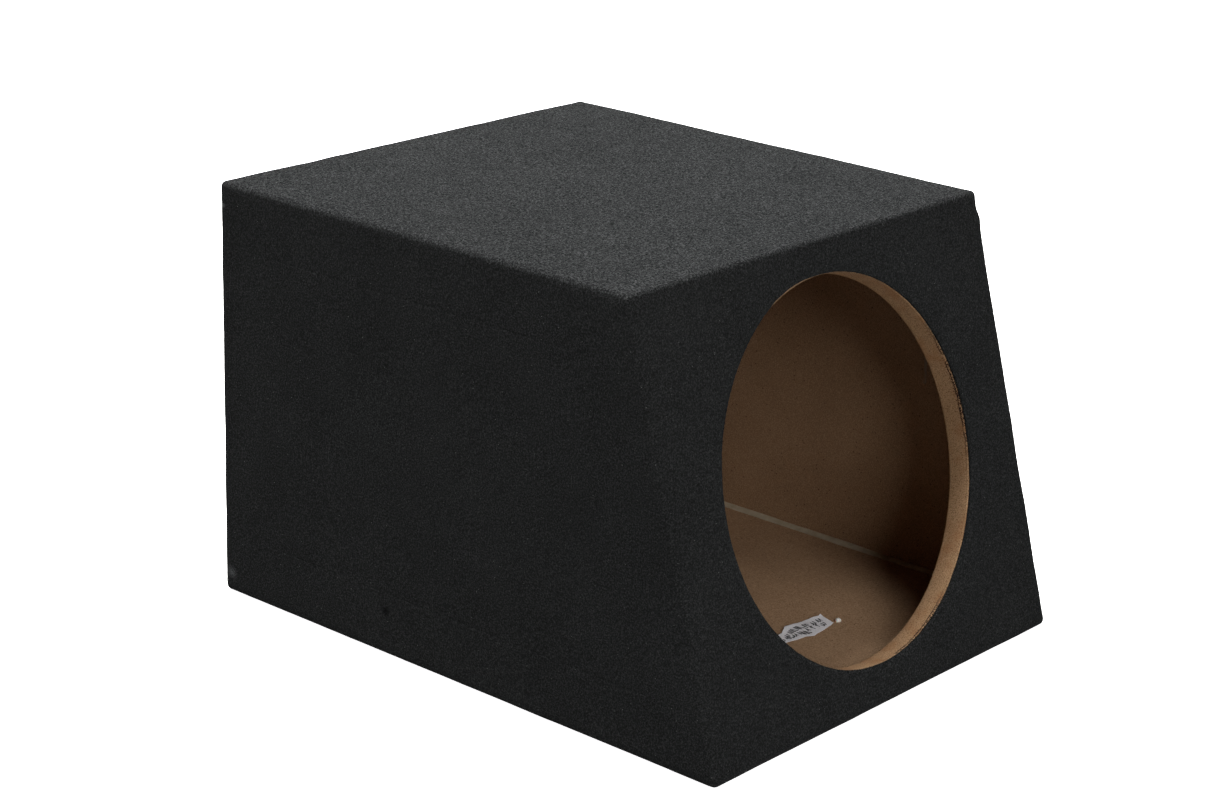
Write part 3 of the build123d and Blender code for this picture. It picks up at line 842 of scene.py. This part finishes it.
def sidePanel(side):
    # the middle piece of one side: a blend of its four straight edges, u along and v up,
    # (1-u)(1-v) A + u(1-v) B + u v C + (1-u) v D
    corners = insetOutline(carpetShape["flange"] + carpetShape["seamGap"] / 2)
    places = np.array([0, 0.5, 1.1, 1.9, 3.0, 5.0]) * mm
    along = np.linalg.norm(corners[3] - corners[0])
    tall = np.linalg.norm(corners[1] - corners[0])
    u, v = (spaced(length, 2.6 * mm, places) / length for length in (along, tall))
    uGrid, vGrid = (grid.ravel()[:, None] for grid in np.meshgrid(u, v, indexing="ij"))
    yz = (
        (1 - uGrid) * (1 - vGrid) * corners[0]
        + uGrid * (1 - vGrid) * corners[3]
        + uGrid * vGrid * corners[2]
        + (1 - uGrid) * vGrid * corners[1]
    )
    edge = np.minimum(np.minimum(uGrid, 1 - uGrid) * along, np.minimum(vGrid, 1 - vGrid) * tall)[:, 0]
    points = np.concatenate([np.full((len(yz), 1), side * halfWidth), yz], axis=1)
    points, outward = rolled(points, seamDip(edge))
    faces = turnedOut(points, gridFaces(len(u), len(v)), outward)
    name = "leftSideCarpet" if side < 0 else "rightSideCarpet"
    piece = feltSheet(name, [(points, faces)])
    after = np.roll(corners, -1, axis=0)
    area = abs((corners[:, 0] * after[:, 1] - corners[:, 1] * after[:, 0]).sum()) / 2
    return piece, (along, tall, min(area, along * tall))


carpetWrap, wrapFlat, bottomCarpet, bottomFlat = dressCarpet()
leftCarpet, sideFlat = sidePanel(-1)
rightCarpet, sideFlat = sidePanel(1)
for name, flat in (("wrap", wrapFlat), ("bottom", bottomFlat), ("side", sideFlat)):
    print("carpet laid:", name, [round(v, 4) for v in flat])


# Loose fibres

def strands(name, roots, directions, lengths, width, seed, finish):
    # bent ribbons: root + direction * length * t + bend * length * t squared, tapering to a point
    random = np.random.default_rng(seed)
    count, places = len(roots), 4
    t = np.linspace(0, 1, places)
    bend = random.normal(0, 0.45, (count, 3))
    bend -= directions * (bend * directions).sum(1)[:, None]
    spine = (
        roots[:, None, :]
        + directions[:, None, :] * (lengths[:, None] * t)[..., None]
        + bend[:, None, :] * (lengths[:, None] * t * t)[..., None]
    )
    across = unit(np.cross(directions, random.normal(0, 1, (count, 3))))
    half = (width / 2 * (1 - 0.85 * t))[None, :, None] * across[:, None, :]
    points = np.stack([spine - half, spine + half], axis=2).reshape(-1, 3)
    first = (np.arange(count) * 2 * places)[:, None, None]
    faces = (gridFaces(places, 2)[None] + first).reshape(-1, 4)
    tone = np.repeat(random.uniform(0, 1, count), 2 * places)
    return makePiece(name, points, faces, finish, shades={"tone": tone})


def looseFibre():
    # single polyester fibres pulled out of the felt: thin, dull, from black to pale grey
    material, tree, shader, _ = newFinish(
        "LoosePolyesterFibre", Roughness=0.7, Specular_IOR_Level=0.3
    )
    tone = stored(tree, "tone")
    tones = ramp(tree, tone, {0.0: "#0d0e0e", 1.0: "#6f716e", 0.72: "#2c2e2e"})
    painted(tree, shader, tones)
    return material


fibreFinish = looseFibre()
fringe = {
    "count": 3200,
    "shortest": 0.5 * mm,
    "longest": 3.4 * mm,
    "width": 0.11 * mm,
    "ragged": (-0.1 * mm, 0.5 * mm),  # how far past the cut a root may be
    "rootDepth": (0.4, 1.0),          # and how deep in the felt, as a share of its thickness
    "scatter": 0.55,
    "forward": 0.35,
    "tuftAngle": math.radians(33),    # a tuft of pulled fibre on the upper right of the hole
    "tuftWidth": 0.035,
    "tuftCount": 260,
    "tuftLonger": 1.5,
}


def holeFringe():
    # fibres on the cut edge: roots round the rim at depths through the felt, pointing inward,
    # outward and along at random
    random = np.random.default_rng(21)
    tuft = fringe["tuftCount"]
    count = fringe["count"] + tuft
    angle = random.uniform(-math.pi, math.pi, count)
    angle[:tuft] = fringe["tuftAngle"] + random.normal(0, fringe["tuftWidth"], tuft)
    radius = cutRim(-angle) + random.uniform(*fringe["ragged"], count)
    depth = random.uniform(*fringe["rootDepth"], count) * carpetThick
    radial = aroundHole(angle)
    roots = holeCentre + holeAxis * (carpetThick - depth)[:, None] + radial * radius[:, None]
    pull = random.normal(0, fringe["scatter"], (count, 3))
    inward = -radial * random.uniform(0.1, 1.0, count)[:, None]
    directions = unit(inward + holeAxis * fringe["forward"] + pull)
    spread = random.beta(1.2, 3.5, count)
    lengths = fringe["shortest"] + (fringe["longest"] - fringe["shortest"]) * spread
    lengths[:tuft] *= fringe["tuftLonger"]
    return strands("cutEdgeFringe", roots, directions, lengths, fringe["width"], 22, fibreFinish)


rollShape = {
    "rows": 1600,
    "sides": 9,
    "past": 0.35 * mm,      # how far outside the cut its middle runs
    "across": 0.42 * mm,    # its half sizes in the baffle's plane and along the hole's axis
    "deep": 0.62 * mm,
    "lumps": ((0.3, 1.6 * mm, 31), (0.16, 0.7 * mm, 32)),  # share, size, seed
}


def cutEdgeRoll():
    # the ragged cut itself: a lumpy ring of felt, its section's radius times 1 + two sizes of noise
    shape = rollShape
    around = np.linspace(0, 2 * math.pi, shape["rows"], endpoint=False)
    section = np.linspace(0, 2 * math.pi, shape["sides"], endpoint=False)
    radial = aroundHole(around)
    radius = cutRim(-around) + shape["past"]
    path = holeCentre + holeAxis * (carpetThick * 0.5) + radial * radius[:, None]
    apart = np.tile(np.cos(section) * 5 * mm, len(path))[:, None]
    where = np.repeat(path, len(section), axis=0) + apart
    rough = 1 + sum(share * noiseField(where, size, seed) for share, size, seed in shape["lumps"])
    rough = rough.reshape(len(path), -1, 1)
    out = radial[:, None, :] * (shape["across"] * np.cos(section))[None, :, None] * rough
    up = holeAxis * (shape["deep"] * np.sin(section))[None, :, None] * rough
    points, faces = sweep(path, out, up, closed=True)
    return makePiece("cutEdgeRoll", points, faces, carpetFinish)


cutFringe = holeFringe()
cutRoll = cutEdgeRoll()
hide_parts("carpet_wrap")
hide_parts("bottom_carpet")
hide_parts("left_side_carpet")
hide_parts("right_side_carpet")


# Baffle board

baffleShape = {
    "step": 3.0 * mm,
    "arris": 0.35 * mm,      # how far the two edges of the hole are rubbed round
    "bore": 0.09 * mm,       # roughness left by the cutter
    "chip": 0.3 * mm,
    "depths": (0, 0.2, 0.5, 1, 2, 3.4, 5, 6.8, 8.6, 10.4, 12.2, 14, 15.4, 16.6, 17.4, 17.8, 18),
    # scorched stretches, by angle and half width: the right of the rim and its lower right
    "scorched": ((0.19, 0.36), (-1.24, 0.29)),
    "elsewhere": 0.06,
}


def makeBaffle():
    # rays from the hole to the border of the board, carried round its thickness as a closed skin:
    # front face in to the hole, through the bore and back out over the rear face
    shape = baffleShape
    x = np.linspace(-innerHalf, innerHalf, round(2 * innerHalf / shape["step"]) + 1)
    z = np.linspace(innerFloor, innerCeiling, round((innerCeiling - innerFloor) / shape["step"]) + 1)
    border = gridBorder(x, z)
    angle = np.arctan2((border[:, 1] - holeCentre[2]) / math.cos(slant), border[:, 0])
    radial = aroundHole(angle)
    depths = np.array(shape["depths"]) / shape["depths"][-1] * boardThick
    arris = shape["arris"] * np.exp(-np.minimum(depths, boardThick - depths) / (0.25 * mm))
    share = np.array([1.0, 0.72, 0.45, 0.25, 0.1, 0.03])
    shares = np.concatenate([share, np.zeros(len(depths)), share[::-1]])
    levels = np.concatenate([np.zeros(len(share)), depths, np.full(len(share), boardThick)])
    widen = np.concatenate([np.full(len(share), arris[0]), arris, np.full(len(share), arris[-1])])
    inBore = np.concatenate([np.zeros(len(share)), np.ones(len(depths)), np.zeros(len(share))])
    size = (len(border), len(levels))
    hub = holeCentre - holeAxis * levels[:, None]
    ringFlat = hub[None] + radial[:, None, :] * (holeRadius + widen)[None, :, None]
    rough = shape["bore"] * noiseField(ringFlat.reshape(-1, 3), 2.2 * mm, 41)
    front = np.exp(-levels / (0.8 * mm))
    chips = shape["chip"] * np.clip(noiseField(ringFlat.reshape(-1, 3), 4 * mm, 42) - 0.35, 0, 1)
    push = rough.reshape(size) * inBore + chips.reshape(size) * front * inBore
    ring = ringFlat + radial[:, None, :] * push[..., None]
    inset = carpetThick + levels
    edge = np.empty(size + (3,))
    edge[..., 0] = border[:, None, 0]
    edge[..., 1] = frontAt(border[:, None, 1], inset[None, :])
    edge[..., 2] = border[:, None, 1]
    points = (ring + (edge - ring) * shares[None, :, None]).reshape(-1, 3)
    faces = turnedOut(points, gridFaces(*size, wrapRows=True, wrapColumns=True))
    scorched = sum(np.exp(-(((angle - at) / half) ** 4)) for at, half in shape["scorched"])
    stain = shape["elsewhere"] + (1 - shape["elsewhere"]) * np.clip(scorched, 0, 1)
    shades = {
        "sawn": np.tile(inBore, len(border)),
        "depth": np.tile(levels, len(border)),
        "stain": np.repeat(stain, len(levels)),
    }
    return makePiece("baffleBoard", points, faces, routedFinish, shades=shades)


baffleBoard = makeBaffle()
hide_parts("front_baffle")
print("baffle made")


# Sealant beads, one in each inside joint

beadShape = {
    "wall": 2.9 * mm,        # how far it goes up the wall, and out over the floor
    "floor": 3.6 * mm,
    "footShare": 0.6,        # at the baffle's foot it stays below the driver hole
    "endGap": 6.5 * mm,
    "sink": 0.25 * mm,
    "uneven": 0.16,          # slow swelling, and fine ripples, as shares of its size
    "ripple": 0.05,
    "step": 2.2 * mm,
}


def makeBead(name, start, end, alongWall, alongFloor, seed, share=1.0):
    # a smeared fillet: (a / wall) ^ (4 / 3) + (b / floor) ^ (4 / 3) = 1, both reaches swelling and
    # shrinking along the joint
    shape = beadShape
    start, end = np.array(start, float), np.array(end, float)
    run = unit(end - start)
    start, end = start + run * shape["endGap"], end - run * shape["endGap"]
    rows = round(np.linalg.norm(end - start) / shape["step"])
    t = np.linspace(0, 1, rows)
    path = start + (end - start) * t[:, None]
    slow, fine = shape["uneven"], shape["ripple"]
    wide = 1 + slow * noiseField(path, 26 * mm, seed)
    wide += fine * noiseField(path, 6 * mm, seed + 50)
    tall = 1 + slow * noiseField(path, 31 * mm, seed + 100)
    tall += fine * noiseField(path, 5 * mm, seed + 150)
    taper = share * np.clip(np.minimum(t, 1 - t) * rows / 3, 0.25, 1)
    phi = np.linspace(0, math.pi / 2, 9)
    a = np.concatenate([np.cos(phi) ** 1.5, [-shape["sink"] / shape["wall"]]])
    b = np.concatenate([np.sin(phi) ** 1.5, [-shape["sink"] / shape["floor"]]])
    a[-2], b[0] = a[-1] / 2, b[-1] / 2
    up = alongWall * (shape["wall"] * tall * taper)[:, None, None] * a[None, :, None]
    out = alongFloor * (shape["floor"] * wide * taper)[:, None, None] * b[None, :, None]
    points, faces = sweep(path, out, up)
    piece = makePiece(name, points, withTriangles(faces), caulkFinish)
    return piece


def makeBeads():
    # the joints between the inner faces: floor, ceiling, rear wall, baffle and both sides
    lowFront = frontAt(innerFloor, carpetThick + boardThick)
    highFront = frontAt(innerCeiling, carpetThick + boardThick)
    upward, forward = np.array([0, 0, 1.0]), np.array([0, -1.0, 0])
    made = 0
    for name, side in (("left", -1), ("right", 1)):
        x, inward = side * innerHalf, np.array([-side, 0, 0.0])
        rearLow, rearHigh = (x, innerRear, innerFloor), (x, innerRear, innerCeiling)
        frontLow, frontHigh = (x, lowFront, innerFloor), (x, highFront, innerCeiling)
        for joint, start, end, wall, floor in (
            ("floor", rearLow, frontLow, upward, inward),
            ("top", rearHigh, frontHigh, -upward, inward),
            ("rear", rearLow, rearHigh, forward, inward),
            ("baffle", frontLow, frontHigh, -holeAxis, inward),
        ):
            bead = makeBead(f"caulk_{joint}_{name}", start, end, wall, floor, 60 + made)
            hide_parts(f"sealant_{joint}_{name}")
            made += 1
    for joint, z, vertical, frontY in (
        ("floor", innerFloor, 1, lowFront),
        ("top", innerCeiling, -1, highFront),
    ):
        for name, y, wall, floor in (
            ("rear", innerRear, upward * vertical, forward),
            ("baffle", frontY, upSlope * vertical, -forward),
        ):
            share = beadShape["footShare"] if (joint, name) == ("floor", "baffle") else 1.0
            ends = (-innerHalf, y, z), (innerHalf, y, z)
            bead = makeBead(f"caulk_{joint}_{name}", *ends, wall, floor, 60 + made, share)
            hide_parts(f"sealant_{joint}_{name}")
            made += 1
    return made


print("sealant beads made:", makeBeads())


# Glue run and glue drop

glueShape = {
    "runSides": 14,
    "runRows": 60,
    "proud": 1.0 * mm,
    "sway": 0.35 * mm,
    "dropRows": 14,
    "dropSides": 36,
    "dropHigh": 2.3 * mm,
    "dropFoot": 0.25 * mm,
}


def makeGlueRun():
    # a run down the right wall: an elliptical tube half sunk in the board, its width
    # w * (1 + noise), swelling to a bead at its lower end and closing to a point
    shape = glueShape
    low, high = boxOf("glue_drip")
    half = (high[1] - low[1]) / 2
    t = np.linspace(0, 1, shape["runRows"])
    z = high[2] + (low[2] - high[2]) * t
    y = (low[1] + high[1]) / 2 + shape["sway"] * np.sin(t * 5.0)
    path = np.stack([np.full(len(t), innerHalf), y, z], 1)
    bead = np.exp(-((((1 - t) * 44 - 2.2) / 2.2) ** 2))
    swell = 0.82 + 0.12 * noiseField(path, 9 * mm, 81) + 0.3 * bead
    close = np.sqrt(np.clip(1 - np.clip((t - 0.965) / 0.035, 0, 1) ** 2, 0.0004, 1))
    close *= np.sqrt(np.clip(t / 0.03, 0.02, 1))
    phi = np.linspace(0, 2 * math.pi, shape["runSides"], endpoint=False)
    size = (swell * close)[:, None, None]
    out = np.array([-1.0, 0, 0]) * shape["proud"] * size * np.cos(phi)[None, :, None]
    wide = np.array([0, 1.0, 0]) * half * size * np.sin(phi)[None, :, None]
    points, faces = sweep(path, wide, out)
    piece = makePiece("glueRun", points, withTriangles(faces), runFinish)
    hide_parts("glue_drip")
    return piece


def makeGlueDrop():
    # a dome with a rounded foot: radius r * sin(v) and height h * cos(v), its outline pushed
    # out of round by two slow waves
    shape = glueShape
    low, high = boxOf("glue_drop")
    middle = (low + high) / 2
    radius = (high[0] - low[0]) / 2
    v = np.linspace(0.03, math.pi * 0.62, shape["dropRows"])
    u = np.linspace(0, 2 * math.pi, shape["dropSides"], endpoint=False)
    out = 1 + 0.08 * np.cos(2 * u + 0.6) + 0.05 * np.cos(3 * u + 2)
    path = np.tile(middle, (len(v), 1))
    path[:, 2] = low[2] + shape["dropFoot"] + shape["dropHigh"] * np.cos(v)
    ring = np.stack([np.cos(u) * out, np.sin(u) * out, np.zeros(len(u))], 1)
    sideways = ring[None] * (radius * 0.95 * np.sin(v))[:, None, None]
    points, faces = sweep(path, sideways, np.zeros_like(sideways))
    piece = makePiece("glueDrop", points, withTriangles(faces), dropFinish)
    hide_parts("glue_drop")
    return piece


makeGlueRun()
makeGlueDrop()
print("glue made")


# Torn paper strip with pen strokes

paperShape = {
    "rows": 150,
    "columns": 44,
    "thick": 0.12 * mm,
    "long": 88 * mm,
    "wide": 20 * mm,
    "slantedEnd": 5 * mm,
    # both torn edges, as (x, y) from the strip's middle
    "farEdge": ((-43, 5.0), (-2, 6.5), (9, 12.5), (20, 10.5), (36, 9.0), (43, 6.0)),
    "nearEdge": ((-43, -5.5), (-13, -6.0), (7, -10.0), (12, -13.0), (29, -11.0), (43, -9.0)),
    "tear": 0.35 * mm,
    "crumple": 0.55 * mm,
    "tipLift": 1.4 * mm,
}


def paperPoints(a, b, above=0.0):
    # a along the strip and b across it, both 0 to 1: y blends from the near to the far torn edge,
    # and z is the floor plus crumples and a tip that curls up
    shape = paperShape
    low, high = boxOf("paper_label")
    middle = (low + high) / 2
    x = (a - 0.5) * shape["long"] + (b - 0.5) * shape["slantedEnd"] * np.clip((a - 0.8) * 5, 0, 1)
    edges = []
    for key, seed in (("farEdge", 91), ("nearEdge", 92)):
        px, py = np.array(shape[key]).T * mm
        flat = np.stack([x, np.zeros_like(x), np.zeros_like(x)], -1).reshape(-1, 3)
        torn = noiseField(flat, 1.7 * mm, seed) + 0.6 * noiseField(flat, 0.6 * mm, seed)
        edges.append(np.interp(x, px, py) + shape["tear"] * torn.reshape(x.shape))
    y = edges[1] + (edges[0] - edges[1]) * b
    flat = np.stack([x, y, np.zeros_like(x)], -1).reshape(-1, 3)
    folds = (noiseField(flat, 11 * mm, 93) + 0.4 * noiseField(flat, 4 * mm, 94)).reshape(x.shape)
    tip = np.clip((a - 0.86) / 0.14, 0, 1) ** 1.6 * (0.4 + 0.6 * b)
    curl = np.clip((b - 0.7) / 0.3, 0, 1) ** 2 * (0.5 + 0.5 * np.sin(a * 14))
    z = 0.35 * mm + shape["crumple"] * (0.5 + 0.5 * folds) + shape["tipLift"] * tip + 0.7 * mm * curl
    x = x - 2.2 * mm * tip
    return np.stack([middle[0] + x, middle[1] + y, innerFloor + z + above], -1)


def makePaper():
    shape = paperShape
    along, across = (np.linspace(0, 1, shape[key]) for key in ("rows", "columns"))
    a, b = np.meshgrid(along, across, indexing="ij")
    points = paperPoints(a, b).reshape(-1, 3)
    up = np.tile([0, 0, 1.0], (len(points), 1))
    faces = turnedOut(points, gridFaces(shape["rows"], shape["columns"]), up)
    piece = solid(makePiece("paperStrip", points, faces, paperFinish), shape["thick"])
    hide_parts("paper_label")
    return piece


penShape = {
    "lines": (0.66, 0.34),     # places across the paper
    "swing": 0.03,             # length of one swing along it
    "tall": (0.1, 0.15),
    "gap": (0.012, 0.035),
    "half": 0.6,               # half the line's width in mm
    "above": 0.06 * mm,
}


def makePenStrokes():
    # two rows of idle pen loops that spell nothing: a runs on while b swings in loops of random
    # height, with the pen lifted between groups
    shape = penShape
    paper = np.array([paperShape["long"], paperShape["wide"]]) / mm
    random = np.random.default_rng(95)
    ribbons = []
    for line in shape["lines"]:
        a = 0.06 + random.uniform(0, 0.02)
        while a < 0.9:
            swings = random.integers(1, 4)
            span = shape["swing"] * swings
            t = np.linspace(0, 1, 18 * swings)
            tall = random.uniform(*shape["tall"])
            phase = random.uniform(0, 6)
            sway = a + span * t + 0.006 * np.sin(t * swings * 6.3 + phase)
            rise = line + tall * np.cos(t * swings * 6.3 + phase * 1.7) + 0.03 * random.normal()
            spine = np.stack([sway, rise], 1)
            step = np.gradient(spine * paper, axis=0)
            normal = unit(np.stack([-step[:, 1], step[:, 0]], 1))
            half = shape["half"] * (0.75 + 0.25 * np.sin(t * 19 + phase))[:, None]
            both = np.stack([spine + normal * half / paper, spine - normal * half / paper], 1)
            points = paperPoints(both[..., 0], both[..., 1], shape["above"]).reshape(-1, 3)
            up = np.tile([0, 0, 1.0], (len(points), 1))
            ribbons.append((points, turnedOut(points, gridFaces(len(t), 2), up)))
            a += span + random.uniform(*shape["gap"])
    points, faces = joined(ribbons)
    piece = makePiece("penStrokes", points, faces, inkFinish)
    return piece


makePaper()
makePenStrokes()
print("paper made")


# Lever springs

springShape = {
    "turns": 7.0,
    "wire": 0.8 * mm,
    "flatTurns": 1.0,      # closed turns at each end, and their pitch as a share of the open one
    "closedPitch": 0.16,
    "spare": 0.2 * mm,     # squeezed this much further than the lever's travel
    "sides": 10,
    "rows": 380,
}


def makeSpring(colour):
    # a helix about Y: x = r cos(q), z = r sin(q), y rising slowly over the closed end turns and
    # quickly between, as a tube whose section turns with the radius
    shape = springShape
    node = f"{colour}_lever_spring"
    low, high = boxOf(node)
    middle = (low + high) / 2
    wire = shape["wire"] / 2
    radius = (high[0] - low[0]) / 2 - wire
    q = np.linspace(0, shape["turns"] * 2 * math.pi, shape["rows"])
    turn = q / (2 * math.pi)
    fromEnd = np.minimum(turn, shape["turns"] - turn)
    pitch = np.clip(fromEnd / shape["flatTurns"], 0, 1) ** 1.5 + shape["closedPitch"]
    rise = np.concatenate([[0], np.cumsum((pitch[1:] + pitch[:-1]) / 2)])
    y = low[1] + wire + (high[1] - low[1] - 2 * wire) * rise / rise[-1]
    radial = np.stack([np.cos(q), np.zeros(len(q)), np.sin(q)], 1)
    axis = np.tile(middle, (len(q), 1))
    axis[:, 1] = y
    path = axis + radial * radius
    other = np.cross(unit(np.gradient(path, axis=0)), radial)
    phi = np.linspace(0, 2 * math.pi, shape["sides"], endpoint=False)
    out = radial[:, None, :] * (wire * np.cos(phi))[None, :, None]
    up = other[:, None, :] * (wire * np.sin(phi))[None, :, None]
    points, faces = sweep(path, out, up)
    piece = makePiece(f"{colour}LeverSpring", points, withTriangles(faces), springFinish)
    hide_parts(node)
    press = next(joint for joint in frame["joints"] if joint["name"] == f"{colour}_lever_press")
    # the tilted lever comes furthest in at the coil's lower edge: distance from the pin * sin(angle)
    tilt = math.radians(press["range_deg"][1])
    travel = (press["pos_m"][2] - low[2]) * math.sin(tilt) + shape["spare"]
    keep = 1 - travel / (high[1] - low[1])
    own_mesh(piece)
    return keep


for colour in ("black", "red"):
    print(colour, "spring made, squeezed to", round(makeSpring(colour), 3))


# Floor, light and camera

studio = {
    "floorTone": "#f4f4f4",
    "floorSize": 60.0,
    "floorGlow": 1.0,
    "skyAbove": 0.006,     # brightness overhead, at the walls and from below
    "skyLevel": 0.008,
    "skyBelow": 0.34,
}
softboxes = {
    # name: place, diameter, power
    "above": ((-0.1, 1.15, 3.2), 2.0, 308.0),
    "frontLeft": ((-0.82, -2.7, 1.19), 1.4, 38.0),
    "frontHigh": ((0.39, -1.45, 2.76), 1.4, 15.0),
    "left": ((-3.0, 0.4, 0.7), 1.6, 19.5),
    "right": ((2.7, 0.7, 0.85), 1.6, 26.0),
}


def studioFloor():
    # matt white paper sweep with a faint mottle
    material, tree, shader, place = newFinish("WhitePaperSweep", Roughness=0.9, Specular_IOR_Level=0.1)
    mottle = noise(tree, place, 0.4, 2.0)
    painted(tree, shader, ramp(tree, mottle, {0.3: "#f1f1f1", 0.7: studio["floorTone"]}))
    shader.inputs["Emission Color"].default_value = linear("#ffffff")
    shader.inputs["Emission Strength"].default_value = studio["floorGlow"]
    half = studio["floorSize"] / 2
    corner = np.linspace(-half, half, 13)
    xGrid, yGrid = np.meshgrid(corner, corner, indexing="ij")
    points = np.stack([xGrid, yGrid, np.full(xGrid.shape, -0.2 * mm)], -1).reshape(-1, 3)
    faces = turnedOut(points, gridFaces(13, 13), np.tile([0, 0, 1.0], (len(points), 1)))
    mesh = bpy.data.meshes.new("studioFloor")
    mesh.from_pydata(points.tolist(), [], faces.tolist())
    mesh.materials.append(material)
    floor = bpy.data.objects.new("studioFloor", mesh)
    bpy.context.scene.collection.objects.link(floor)
    floor.visible_diffuse = False  # so the white floor doesn't flood the sides with light
    floor.visible_glossy = False


def areaLight(name, place, size, power):
    # a round softbox aimed at the middle of the cabinet
    light = bpy.data.lights.new(name, "AREA")
    light.shape = "DISK"
    light.size = size
    light.energy = power
    lamp = bpy.data.objects.new(name, light)
    lamp.location = place
    aim = Vector((0, 0, height / 2)) - Vector(place)
    lamp.rotation_euler = aim.to_track_quat("-Z", "Y").to_euler()
    lamp.visible_camera = False
    bpy.context.scene.collection.objects.link(lamp)


def studioSky():
    world = bpy.data.worlds.new("softSky")
    world.use_nodes = True
    tree = world.node_tree
    direction = tree.nodes.new("ShaderNodeTexCoord").outputs["Generated"]
    rise = addNode(tree, "ShaderNodeSeparateXYZ", n0=direction).outputs["Z"]
    upper = ranged(tree, rise, 0.0, 1.0, studio["skyLevel"], studio["skyAbove"])
    lower = ranged(tree, rise, -0.1, 0.0, studio["skyBelow"] - studio["skyLevel"], 0.0)
    tree.nodes["Background"].inputs["Color"].default_value = linear("#ffffff")
    tree.links.new(sums(tree, "ADD", upper, lower), tree.nodes["Background"].inputs["Strength"])
    bpy.context.scene.world = world


studioFloor()
for name, (place, size, power) in softboxes.items():
    areaLight(name + "Softbox", place, size, power)
studioSky()
bpy.context.scene.view_settings.view_transform = "Standard"

cameraSettings = {
    "place": (-1.56829, -1.32977, 0.87121),
    "turn": (71.012, -1.649, -48.480),
    "lens": 85.291,
    "sensor": 36.0,
}
camera = bpy.data.cameras.new("camera")
camera.lens = cameraSettings["lens"]
camera.sensor_width = cameraSettings["sensor"]
camera.clip_end = 100.0
cameraObject = bpy.data.objects.new("camera", camera)
cameraObject.location = cameraSettings["place"]
cameraObject.rotation_euler = [math.radians(angle) for angle in cameraSettings["turn"]]
bpy.context.scene.collection.objects.link(cameraObject)
bpy.context.scene.camera = cameraObject
print("camera and light set")
